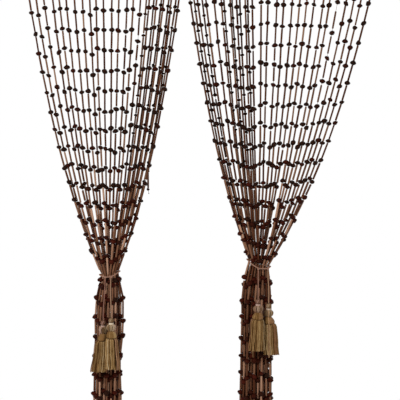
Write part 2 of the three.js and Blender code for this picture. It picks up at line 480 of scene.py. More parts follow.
class Nodes:
    """Adds nodes to a tree and links them in one call."""

    def __init__(self, tree: bpy.types.NodeTree) -> None:
        """Works on the given tree."""
        self.tree = tree

    def add(self, kind: str, *inputs: object, out: int | str = 0, **settings: object) -> Socket:
        """Adds a node.

        Args:
            kind: The node's type.
            *inputs: One value or socket for each enabled input in order. None leaves an input as it is.
            out: Which enabled output to return.
            **settings: Values of the node's own properties.

        Returns:
            The chosen output socket.
        """
        node = self.tree.nodes.new(kind)
        for name, value in settings.items():
            setattr(node, name, value)
        sockets = [s for s in node.inputs if s.enabled and s.type != "CUSTOM"]
        for socket, value in zip(sockets, inputs):
            self.put(socket, value)
        outputs = [s for s in node.outputs if s.enabled]
        if isinstance(out, str):
            return next(s for s in outputs if s.name == out)
        return outputs[out]

    def put(self, socket: Socket, value: object) -> None:
        """Gives an input a value, or links a socket to it.

        Args:
            socket: The input.
            value: The value or the socket. None leaves the input as it is.
        """
        if isinstance(value, Socket):
            self.tree.links.new(value, socket)
        elif value is not None:
            socket.default_value = value

    def math(self, operation: str, *inputs: object) -> Socket:
        """Adds a math node."""
        return self.add("ShaderNodeMath", *inputs, operation=operation)

    def product(self, first: object, *others: object) -> object:
        """Multiplies values or sockets, one after the other."""
        return functools.reduce(lambda so_far, factor: self.math("MULTIPLY", so_far, factor), others, first)

    def vector(self, operation: str, *inputs: object, out: int | str = 0) -> Socket:
        """Adds a vector math node."""
        return self.add("ShaderNodeVectorMath", *inputs, operation=operation, out=out)

    def scaled(self, vector: Socket, factor: object) -> Socket:
        """Scales a vector.

        Args:
            vector: The vector.
            factor: A number or a socket.

        Returns:
            The scaled vector.
        """
        node = self.tree.nodes.new("ShaderNodeVectorMath")
        node.operation = "SCALE"
        self.put(node.inputs[0], vector)
        self.put(node.inputs["Scale"], factor)
        return node.outputs[0]

    def join(self, x: Socket, y: Socket, z: object = 0.0) -> Socket:
        """A vector from its parts."""
        return self.add("ShaderNodeCombineXYZ", x, y, z)

    def split(self, vector: Socket) -> tuple[Socket, ...]:
        """The three parts of a vector."""
        return tuple(self.add("ShaderNodeSeparateXYZ", vector).node.outputs)

    def map(
        self, value: Socket, low: float = 0.0, high: float = 1.0, to_low: float = 0.0, to_high: float = 1.0
    ) -> Socket:
        """Maps a value from one range to another, held inside it."""
        return self.add("ShaderNodeMapRange", value, low, high, to_low, to_high)

    def noise(
        self, place: Socket, scale: object, detail: float, rough: float = 0.5, out: str = "Fac"
    ) -> Socket:
        """Adds a noise texture."""
        return self.add("ShaderNodeTexNoise", place, scale, detail, rough, out=out)

    def position(self) -> Socket:
        """Where each point of a grown mesh is."""
        return self.add("GeometryNodeInputPosition")

    def read(self, name: str, kind: str = "FLOAT") -> Socket:
        """Reads an attribute of a grown mesh."""
        return self.add("GeometryNodeInputNamedAttribute", name, data_type=kind)

    def store(self, mesh: Socket, name: str, value: Socket, kind: str = "FLOAT") -> Socket:
        """Stores an attribute on the points of a grown mesh."""
        kinds = {"data_type": kind, "domain": "POINT"}
        return self.add("GeometryNodeStoreNamedAttribute", mesh, None, name, value, **kinds)


GrowNodes = Callable[[Nodes, dict[str, Socket]], Socket]


def add_object(name: str, data: bpy.types.ID) -> Object:
    """Adds an object to the scene.

    Args:
        name: Its name.
        data: Its mesh, light or camera.

    Returns:
        The object, at the origin.
    """
    added = bpy.data.objects.new(name, data)
    bpy.context.scene.collection.objects.link(added)
    return added


class GrowTree:
    """A geometry node tree with named inputs, used to grow a plain mesh from points or lines."""

    KINDS = {int: "NodeSocketInt", float: "NodeSocketFloat", Material: "NodeSocketMaterial"}

    def __init__(self, name: str, build: GrowNodes, **inputs: type) -> None:
        """Builds the tree.

        Args:
            name: The tree's name.
            build: Adds the nodes between the inputs and the last three, and returns the grown geometry.
            **inputs: The kind of each named input.
        """
        self.tree = bpy.data.node_groups.new(name, "GeometryNodeTree")
        face = self.tree.interface
        for end in ("OUTPUT", "INPUT"):
            face.new_socket("Geometry", in_out=end, socket_type="NodeSocketGeometry")
        self.identifiers = {}
        for label, kind in [*inputs.items(), ("material", Material)]:
            socket = face.new_socket(label, in_out="INPUT", socket_type=self.KINDS[kind])
            self.identifiers[label] = socket.identifier
        nodes = Nodes(self.tree)
        given = self.tree.nodes.new("NodeGroupInput")
        grown = build(nodes, {s.name: s for s in given.outputs if s.name})
        real = nodes.add("GeometryNodeRealizeInstances", grown)
        smooth = nodes.add("GeometryNodeSetShadeSmooth", real)
        dressed = nodes.add("GeometryNodeSetMaterial", smooth, None, given.outputs["material"])
        result = self.tree.nodes.new("NodeGroupOutput")
        self.tree.links.new(dressed, result.inputs[0])

    def grow(self, name: str, mesh: Mesh, material: Material, **values: float) -> Object:
        """Grows a piece and leaves it as a plain mesh.

        Args:
            name: The piece's name.
            mesh: The points or lines it grows from.
            material: Its finish.
            **values: The tree's named inputs.

        Returns:
            The finished object, at the origin and without modifiers.
        """
        piece = add_object(name, mesh)
        modifier = piece.modifiers.new("grow", "NODES")
        modifier.node_group = self.tree
        for label, value in {"material": material, **values}.items():
            modifier[self.identifiers[label]] = value
        graph = bpy.context.evaluated_depsgraph_get()
        grown = bpy.data.meshes.new_from_object(piece.evaluated_get(graph))
        piece.modifiers.clear()
        piece.data = grown
        grown.name = name
        return piece


def grow_swept(nodes: Nodes, given: dict[str, Socket]) -> Socket:
    """Sweeps a lobed section along every line of the mesh.

    The lines' own attribute thick is the radius in metres. The faces get along, the distance from the
    line's start, and ply, the cosine and sine of the turn round the section.

    Args:
        nodes: The tree's nodes.
        given: The tree's inputs by name.

    Returns:
        The swept mesh.
    """
    lines = nodes.add("GeometryNodeMeshToCurve", given["Geometry"])
    along = nodes.add("GeometryNodeSplineParameter", out="Length")
    lines = nodes.store(lines, "along", along)
    lines = nodes.add("GeometryNodeSetCurveTilt", lines, None, nodes.product(along, given["twist"]))
    section = nodes.add("GeometryNodeCurvePrimitiveCircle", given["sides"], 1.0)
    share = nodes.add("GeometryNodeSplineParameter", out="Factor")
    turn = nodes.product(share, 2 * math.pi, given["lobes"])
    cosine = nodes.math("COSINE", turn)
    section = nodes.store(section, "ply", nodes.join(cosine, nodes.math("SINE", turn)), "FLOAT_VECTOR")
    swell = nodes.math("MULTIPLY_ADD", cosine, given["groove"], 1.0)
    place = nodes.scaled(nodes.position(), swell)
    section = nodes.add("GeometryNodeSetPosition", section, None, place)
    return nodes.add("GeometryNodeCurveToMesh", lines, section, nodes.read("thick"), True)


def grow_beads(nodes: Nodes, given: dict[str, Socket]) -> Socket:
    """Puts a saucer bead on every point of the mesh.

    The points' attributes are turn (an Euler rotation), size (half sizes in metres) and taper (how much
    wider one face is than the other). Each bead gets a rim, its own taper and its own lumps.

    Args:
        nodes: The tree's nodes.
        given: The tree's inputs by name.

    Returns:
        The beads.
    """
    ball = nodes.add("GeometryNodeMeshUVSphere", given["segments"], given["rings"], 1.0)
    x, y, z = nodes.split(nodes.position())
    out_from_hole = nodes.vector("LENGTH", nodes.join(x, y), out="Value")
    pinched = nodes.product(out_from_hole, given["pinch"], -1.0)
    height = nodes.product(z, nodes.math("ADD", pinched, 1.0))
    ball = nodes.add("GeometryNodeSetPosition", ball, None, nodes.join(x, y, height))
    ball = nodes.store(ball, "face", height)
    ball = nodes.store(ball, "rim", out_from_hole)
    points = nodes.store(given["Geometry"], "centre", nodes.position(), "FLOAT_VECTOR")
    rotation = nodes.add("FunctionNodeEulerToRotation", nodes.read("turn", "FLOAT_VECTOR"))
    size = nodes.read("size", "FLOAT_VECTOR")
    beads = nodes.add("GeometryNodeInstanceOnPoints", points, None, ball, None, None, rotation, size)
    beads = nodes.add("GeometryNodeRealizeInstances", beads)
    reach = nodes.vector("SUBTRACT", nodes.position(), nodes.read("centre", "FLOAT_VECTOR"))
    tapered = nodes.scaled(reach, nodes.product(nodes.read("taper"), nodes.read("face")))
    noise = nodes.noise(nodes.position(), given["lump_scale"], detail=1.0, out="Color")
    lumps = nodes.scaled(nodes.vector("SUBTRACT", noise, (0.5, 0.5, 0.5)), given["lumps"])
    return nodes.add("GeometryNodeSetPosition", beads, None, None, nodes.vector("ADD", tapered, lumps))


SWEEP = GrowTree("swept_lines", grow_swept, sides=int, lobes=int, groove=float, twist=float)
BEADING = GrowTree(
    "saucer_beads", grow_beads, segments=int, rings=int, pinch=float, lump_scale=float, lumps=float
)


@dataclass
class Lines:
    """Lines gathered for one piece, each with a radius, a tone and a blush at every point."""

    points: list[np.ndarray] = field(default_factory=list)
    thick: list[np.ndarray] = field(default_factory=list)
    tone: list[np.ndarray] = field(default_factory=list)
    blush: list[np.ndarray] = field(default_factory=list)

    def add(
        self, line: Iterable[Sequence[float]], thick: float | Sequence[float], tone: float, blush: float = 0.0
    ) -> None:
        """Adds a line.

        Args:
            line: Its points in millimetres.
            thick: Its radius in millimetres, or one for each point.
            tone: Its place in the finish's range of colours, from 0 to 1.
            blush: How pink it is, from 0 to 1.
        """
        points = np.array(line, float)
        self.points.append(points)
        self.thick.append(np.broadcast_to(np.array(thick, float) * MM, len(points)))
        self.tone.append(np.full(len(points), tone))
        self.blush.append(np.full(len(points), blush))

    def _mesh(self) -> Mesh:
        """The lines as a mesh of edges, in metres.

        Returns:
            The mesh, with its attributes thick, tone and blush.
        """
        mesh = bpy.data.meshes.new("lines")
        edges, start = [], 0
        for line in self.points:
            edges += [(start + i, start + i + 1) for i in range(len(line) - 1)]
            start += len(line)
        mesh.from_pydata(np.concatenate(self.points) * MM, edges, [])
        for label in ("thick", "tone", "blush"):
            set_floats(mesh, label, np.concatenate(getattr(self, label)))
        return mesh

    def sweep(
        self,
        name: str,
        material: Material,
        sides: int,
        lobes: int = 2,
        groove: float = 0.0,
        twist: float = 0.0,
    ) -> Object:
        """Sweeps the lines into a piece.

        Args:
            name: The piece's name.
            material: Its finish.
            sides: How many sides its section has.
            lobes: How many plies its section has.
            groove: The depth of the grooves between the plies, as a share of the radius.
            twist: The turn of the plies in radians a metre.

        Returns:
            The piece.
        """
        return SWEEP.grow(name, self._mesh(), material, sides=sides, lobes=lobes, groove=groove, twist=twist)


def set_floats(mesh: Mesh, name: str, values: np.ndarray) -> None:
    """Stores one number, or one vector, for each point of a mesh.

    Args:
        mesh: The mesh.
        name: The attribute's name.
        values: One row for each point.
    """
    kind, key = ("FLOAT", "value") if values.ndim == 1 else ("FLOAT_VECTOR", "vector")
    attribute = mesh.attributes.new(name, kind, "POINT")
    attribute.data.foreach_set(key, values.astype(np.float32).ravel())


# Finishes

# The sRGB curve: where its straight toe ends, the toe's slope, and the rest's offset and power
SRGB = (0.04045, 12.92, 0.055, 2.4)
FLOAT = "NodeSocketFloat"
VECTOR = "NodeSocketVector"


def linear(*channels: int) -> Colour:
    """A colour as a shader takes it.

    Args:
        *channels: Its red, green and blue on the scale of 0 to 255.

    Returns:
        The linear colour, opaque.
    """
    toe, slope, offset, power = SRGB
    shares = [channel / 255 for channel in channels]
    red, green, blue = (s / slope if s <= toe else ((s + offset) / (1 + offset)) ** power for s in shares)
    return (red, green, blue, 1.0)


class ShaderGroup:
    """A shader node group with named inputs and outputs, built once and placed in many materials."""

    def __init__(self, name: str, inputs: dict[str, str], outputs: dict[str, str]) -> None:
        """Makes the group's sockets.

        Args:
            name: The group's name.
            inputs: The kind of each input socket.
            outputs: The kind of each output socket.
        """
        self.tree = bpy.data.node_groups.new(name, "ShaderNodeTree")
        for end, sockets in (("INPUT", inputs), ("OUTPUT", outputs)):
            for label, kind in sockets.items():
                self.tree.interface.new_socket(label, in_out=end, socket_type=kind)
        self.nodes = Nodes(self.tree)
        self.given = self.tree.nodes.new("NodeGroupInput").outputs
        self.result = self.tree.nodes.new("NodeGroupOutput").inputs

    def place(self, nodes: Nodes, **values: object) -> dict[str, Socket]:
        """Places the group in a material.

        Args:
            nodes: The material's nodes.
            **values: A value or a socket for each input, with _ for a space in its name.

        Returns:
            The group's output sockets by name.
        """
        node = nodes.tree.nodes.new("ShaderNodeGroup")
        node.node_tree = self.tree
        for label, value in values.items():
            nodes.put(node.inputs[label.replace("_", " ")], value)
        return {s.name: s for s in node.outputs}


class WoodGrain(ShaderGroup):
    """Wood grain with darker pores: long streaks along the grain, and a fine height."""

    STREAK_SHARE = 0.55
    FINE_SHARE = 0.45

    def __init__(self) -> None:
        """Builds the group."""
        super().__init__(
            "wood_grain",
            {"Grain Place": VECTOR, "Tone": FLOAT, "Contrast": FLOAT},
            {"Shade": FLOAT, "Height": FLOAT, "Wear": FLOAT},
        )
        nodes, given = self.nodes, self.given
        streaks = nodes.noise(given["Grain Place"], scale=1.0, detail=4.0, rough=0.6)
        fine = nodes.noise(given["Grain Place"], scale=3.7, detail=3.0, rough=0.7)
        both = nodes.math("MULTIPLY_ADD", fine, self.FINE_SHARE, nodes.product(streaks, self.STREAK_SHARE))
        centred = nodes.math("SUBTRACT", both, 0.5)
        shade = nodes.math("MULTIPLY_ADD", centred, given["Contrast"], given["Tone"])
        pores = nodes.map(fine, low=0.32, high=0.5)
        nodes.put(self.result["Shade"], nodes.add("ShaderNodeClamp", shade, 0.0, 1.0))
        nodes.put(self.result["Height"], nodes.math("MULTIPLY_ADD", streaks, 0.5, pores))
        nodes.put(self.result["Wear"], nodes.map(streaks, low=0.35, high=0.7))


class YarnTwist(ShaderGroup):
    """The slanting plies of a twisted yarn or cord, from the distance along it and the turn round it."""

    def __init__(self) -> None:
        """Builds the group."""
        super().__init__(
            "yarn_twist", {"Along": FLOAT, "Ply": VECTOR, "Plies Per Metre": FLOAT}, {"Crest": FLOAT}
        )
        nodes, given = self.nodes, self.given
        turn = nodes.product(given["Along"], given["Plies Per Metre"], 2 * math.pi)
        ply_x, ply_y, _ = nodes.split(given["Ply"])
        first = nodes.product(nodes.math("SINE", turn), ply_x)
        wave = nodes.math("MULTIPLY_ADD", nodes.math("COSINE", turn), ply_y, first)
        nodes.put(self.result["Crest"], nodes.math("MULTIPLY_ADD", wave, 0.5, 0.5))


WOOD_GRAIN = WoodGrain()
YARN_TWIST = YarnTwist()


class Finish:
    """A procedural material under construction: its nodes, its shader and the coordinates it reads."""

    def __init__(self, name: str, **shader: object) -> None:
        """Starts the material.

        Args:
            name: The material's name.
            **shader: Constants of the shader, with _ for a space in their names.
        """
        self.material = bpy.data.materials.new(name)
        self.material.use_nodes = True
        self.nodes = Nodes(self.material.node_tree)
        self.shader = self.material.node_tree.nodes["Principled BSDF"].inputs
        for label, value in shader.items():
            self.feed(label.replace("_", " "), value)

    def feed(self, label: str, value: object) -> None:
        """Gives one of the shader's inputs a value or a socket."""
        self.nodes.put(self.shader[label], value)

    def place(self, scale: Point = (1.0, 1.0, 1.0)) -> Socket:
        """Object coordinates through a Mapping node.

        Args:
            scale: Their scale along each axis. Grain is long where it is small.

        Returns:
            The coordinates.
        """
        node = self.nodes.tree.nodes.new("ShaderNodeMapping")
        node.inputs["Scale"].default_value = scale
        self.nodes.put(node.inputs["Vector"], self.nodes.add("ShaderNodeTexCoord", out="Object"))
        return node.outputs[0]

    def attribute(self, name: str, out: str = "Fac") -> Socket:
        """An attribute of the piece's own mesh."""
        return self.nodes.add("ShaderNodeAttribute", attribute_name=name, out=out)

    def ramp(self, value: Socket, stops: Stops) -> Socket:
        """A range of colours.

        Args:
            value: Where to read it, from 0 to 1.
            stops: Pairs of a place and a colour on the scale of 0 to 255.

        Returns:
            The colour.
        """
        node = self.nodes.tree.nodes.new("ShaderNodeValToRGB")
        elements = node.color_ramp.elements
        while len(elements) < len(stops):
            elements.new(0.5)
        for element, (place, colour) in zip(elements, stops):
            element.position = place
            element.color = linear(*colour)
        self.nodes.put(node.inputs["Fac"], value)
        return node.outputs["Color"]

    def tinted(self, colour: Socket, tint: object, factor: object = 1.0) -> Socket:
        """Multiplies a colour by another.

        Args:
            colour: The colour.
            tint: The other colour.
            factor: How much of the tint is used, from 0 to 1.

        Returns:
            The tinted colour.
        """
        node = self.nodes.tree.nodes.new("ShaderNodeMix")
        node.data_type = "RGBA"
        node.blend_type = "MULTIPLY"
        for socket, value in (("Factor", factor), (6, colour), (7, tint)):
            self.nodes.put(node.inputs[socket], value)
        return node.outputs[2]

    def bump(self, height: Socket, distance: float) -> None:
        """Adds a bump that feeds the shader's normal.

        Args:
            height: The height, from 0 to 1.
            distance: The depth of the relief in metres.
        """
        node = self.nodes.tree.nodes.new("ShaderNodeBump")
        node.inputs["Distance"].default_value = distance
        self.nodes.put(node.inputs["Height"], height)
        self.feed("Normal", node.outputs[0])


@dataclass(frozen=True)
class Wood:
    """A stained wood.

    Its grain is long where its scale is small, and its relief is in metres. The roughness goes from the
    most polished to the least, the gloss and the glance are the strength and the tint of its shine, and
    the coat is a varnish's weight and roughness.
    """

    name: str
    stops: Stops
    scale: Point
    contrast: float
    rough: Span
    relief: float
    gloss: float = 0.5
    glance: Colour = (1.0, 1.0, 1.0, 1.0)
    coat: Span = (0.0, 0.03)

    def _tone(self, finish: Finish) -> Socket:
        """Where the wood lies in its range of colours."""
        return finish.attribute("tone")

    def _colour(self, finish: Finish, shade: Socket) -> Socket:
        """The wood's colour."""
        return finish.ramp(shade, self.stops)

    def _roughness(self, finish: Finish, wear: Socket) -> Socket:
        """The wood's roughness."""
        return finish.nodes.map(wear, to_low=self.rough[0], to_high=self.rough[1])

    def dress(self) -> Material:
        """Makes the material.

        Returns:
            The material.
        """
        varnish, varnish_rough = self.coat
        finish = Finish(
            self.name,
            Specular_IOR_Level=self.gloss,
            Specular_Tint=self.glance,
            Coat_Weight=varnish,
            Coat_Roughness=varnish_rough,
        )
        place, tone = finish.place(self.scale), self._tone(finish)
        grain = WOOD_GRAIN.place(finish.nodes, Grain_Place=place, Tone=tone, Contrast=self.contrast)
        finish.feed("Base Color", self._colour(finish, grain["Shade"]))
        finish.feed("Roughness", self._roughness(finish, grain["Wear"]))
        finish.bump(grain["Height"], self.relief)
        return finish.material


@dataclass(frozen=True)
class TubeWood(Wood):
    """Stained bamboo-like tubes, streaked along their length and redder where they are gathered."""

    # Painted light: the red tint of the gathered tubes
    painted_bundle_red: Colour = (1.0, 0.9, 0.88, 1.0)

    def _colour(self, finish: Finish, shade: Socket) -> Socket:
        """The wood's colour, with more red by the attribute blush."""
        # Painted light: gathered tubes are tinted redder
        return finish.tinted(super()._colour(finish, shade), self.painted_bundle_red, finish.attribute("blush"))


@dataclass(frozen=True)
class BeadWood(Wood):
    """Nearly black beads with a few reddish ones, polished at their rims."""

    rim_start: float = 0.2

    def _roughness(self, finish: Finish, wear: Socket) -> Socket:
        """The roughness, lowest at the rim."""
        smooth, rough = self.rough
        return finish.nodes.map(finish.attribute("rim"), low=self.rim_start, to_low=rough, to_high=smooth)


@dataclass(frozen=True)
class HeadingWood(Wood):
    """The plain stained batten that the strands hang from."""

    clouds: Point = (3.0, 12.0, 12.0)

    def _tone(self, finish: Finish) -> Socket:
        """A tone that drifts along the batten."""
        return finish.nodes.noise(finish.place(self.clouds), scale=1.0, detail=2.0)


TUBE_WOOD = TubeWood(
    name="tube_wood",
    stops=(
        (0.0, (52, 22, 12)),
        (0.3, (78, 46, 30)),
        (0.5, (96, 66, 48)),
        (0.75, (133, 99, 76)),
        (1.0, (182, 149, 124)),
    ),
    scale=(900.0, 900.0, 45.0),
    contrast=0.55,
    rough=(0.34, 0.55),
    relief=0.00012,
    gloss=0.28,
    glance=linear(220, 140, 95),
)
BEAD_WOOD = BeadWood(
    name="bead_wood",
    stops=(
        (0.0, (21, 14, 11)),
        (0.35, (32, 19, 14)),
        (0.55, (44, 14, 8)),
        (0.75, (58, 18, 11)),
        (1.0, (80, 30, 19)),
    ),
    scale=(420.0, 420.0, 420.0),
    contrast=0.3,
    rough=(0.36, 0.55),
    relief=0.00015,
    gloss=0.2,
    glance=linear(220, 130, 90),
)
HEADING_WOOD = HeadingWood(
    name="heading_wood",
    stops=((0.0, (42, 26, 18)), (0.5, (84, 56, 40)), (1.0, (120, 86, 62))),
    scale=(14.0, 260.0, 260.0),
    contrast=1.3,
    rough=(0.38, 0.6),
    relief=0.0002,
    coat=(0.2, 0.35),
)


@dataclass(frozen=True)
class Yarn:
    """A twisted yarn or cord, whose tone and blush come from the piece's own mesh.

    It has a range of colours, how often a ply passes one side of it in a metre, the depth of its grooves
    in metres, how bright the grooves stay under the painted shade that darkens them, the roughness of its
    grooves and crests, and its gloss.
    """

    name: str
    stops: Stops
    plies_per_metre: float = 430.0
    relief: float = 0.0002
    # How bright the painted shade leaves the grooves
    groove: float = 0.58
    rough: Span = (0.8, 0.5)
    gloss: float = 0.28
    glance: Colour = linear(215, 165, 110)
    blush: Colour = (1.0, 0.8, 1.2, 1.0)
    sheen: float = 0.06
    dirt_share: float = 0.3
    fuzz_share: float = 0.25

    def dress(self) -> Material:
        """Makes the material, in which grooves are darker than crests.

        Returns:
            The material.
        """
        finish = Finish(
            self.name,
            Specular_IOR_Level=self.gloss,
            Specular_Tint=self.glance,
            Sheen_Weight=self.sheen,
            Sheen_Tint=self.glance,
        )
        nodes, place = finish.nodes, finish.place()
        along, ply = finish.attribute("along"), finish.attribute("ply", "Vector")
        crest = YARN_TWIST.place(nodes, Along=along, Ply=ply, Plies_Per_Metre=self.plies_per_metre)["Crest"]
        fuzz = nodes.noise(place, scale=1500.0, detail=3.0, rough=0.7)
        dirt = nodes.math("SUBTRACT", nodes.noise(place, scale=60.0, detail=2.0), 0.5)
        tone = nodes.math("MULTIPLY_ADD", dirt, self.dirt_share, finish.attribute("tone"))
        base = finish.tinted(finish.ramp(tone, self.stops), self.blush, finish.attribute("blush"))
        # Painted shade: the grooves between the plies are darkened, and the fuzz varies the fibres
        groove = nodes.map(crest, high=0.55, to_low=self.groove)
        groove_shade_and_fuzz = nodes.product(groove, nodes.map(fuzz, low=0.25, high=0.75, to_low=0.8, to_high=1.12))
        finish.feed("Base Color", finish.tinted(base, groove_shade_and_fuzz))
        finish.feed("Roughness", nodes.map(crest, to_low=self.rough[0], to_high=self.rough[1]))
        finish.bump(nodes.math("MULTIPLY_ADD", fuzz, self.fuzz_share, crest), self.relief)
        return finish.material


STRING_THREAD = Yarn(
    name="string_thread",
    stops=((0.0, (112, 88, 70)), (1.0, (160, 136, 112))),
    plies_per_metre=1400.0,
    relief=0.00008,
    groove=0.6,
    rough=(0.95, 0.8),
    gloss=0.2,
)
TIE_CORD = Yarn(
    name="tie_cord",
    stops=((0.0, (92, 60, 42)), (0.5, (148, 114, 86)), (1.0, (192, 158, 128))),
    plies_per_metre=190.0,
    relief=0.0003,
    groove=0.6,
    rough=(0.95, 0.7),
    gloss=0.2,
)
TASSEL_YARN = Yarn(
    name="tassel_yarn",
    stops=(
        (0.0, (26, 10, 2)),
        (0.25, (86, 54, 23)),
        (0.5, (140, 105, 62)),
        (0.8, (194, 160, 110)),
        (1.0, (234, 209, 168)),
    ),
)
HEAD_YARN = Yarn(
    name="tassel_head_yarn",
    stops=(
        (0.0, (28, 14, 6)),
        (0.25, (84, 57, 34)),
        (0.5, (136, 108, 76)),
        (0.8, (192, 168, 136)),
        (1.0, (240, 222, 196)),
    ),
)


# The strands


@dataclass(frozen=True)
class BeadShape:
    """The real sizes of a bead, as half its width and half its thickness, and how unevenly it sits.

    The scales are those of beads in the bundle, on the strands behind, on the loose strand and at a
    strand's end, which is end_rise above the knot. The tone's spread is that of open and gathered beads.
    Gathered beads get a higher, redder tone than the open ones: painted light on the bundle.
    """

    half_width: float = 7.5
    half_thick: float = 6.0
    gathered_scale: float = 1.1
    back_scale: float = 0.74
    loose_scale: float = 0.6
    end_scale: float = 0.7
    end_rise: float = 8.5
    tone: float = 0.31
    # Painted light: how much higher and redder the tone of gathered beads is
    painted_light_gathered: float = 0.27
    tone_spread: Span = (0.14, 0.12)
    size_jitter: float = 0.1
    tilt: float = 0.32
    taper: float = 0.3
    segments: int = 9
    rings: int = 6
    pinch: float = 0.3
    lump_scale: float = 170.0
    lumps: float = 0.0022


@dataclass(frozen=True)
class TubeShape:
    """The real sizes of a tube, and how unevenly it fills the string between two beads.

    A slack tube is a little shorter than its room, and a few have slipped further. The spreads are those
    of a strand's tone and of a single tube's.
    """

    radius: float = 2.3
    gathered_radius: float = 2.6
    seat: float = 0.85
    end_share: float = 0.8
    end_bevel: float = 1.0
    longest: float = 44.0
    shortest: float = 6.0
    sides: int = 8
    groove: float = 0.03
    slack: float = 0.4
    slipped: float = 5.0
    slip_chance: float = 0.04
    thickness: Span = (-0.1, 0.08)
    belly: Span = (-0.03, 0.06)
    tone_spread: Span = (0.14, 0.12)
    # How unevenly the painted light lightens the gathered tubes
    uneven_gathered: float = 0.17


@dataclass
class Bead:
    """One bead on its strand, or with no size a point where the string only bends."""

    strand: int
    z: float
    scale: float
    place: np.ndarray = field(default_factory=lambda: np.zeros(3))


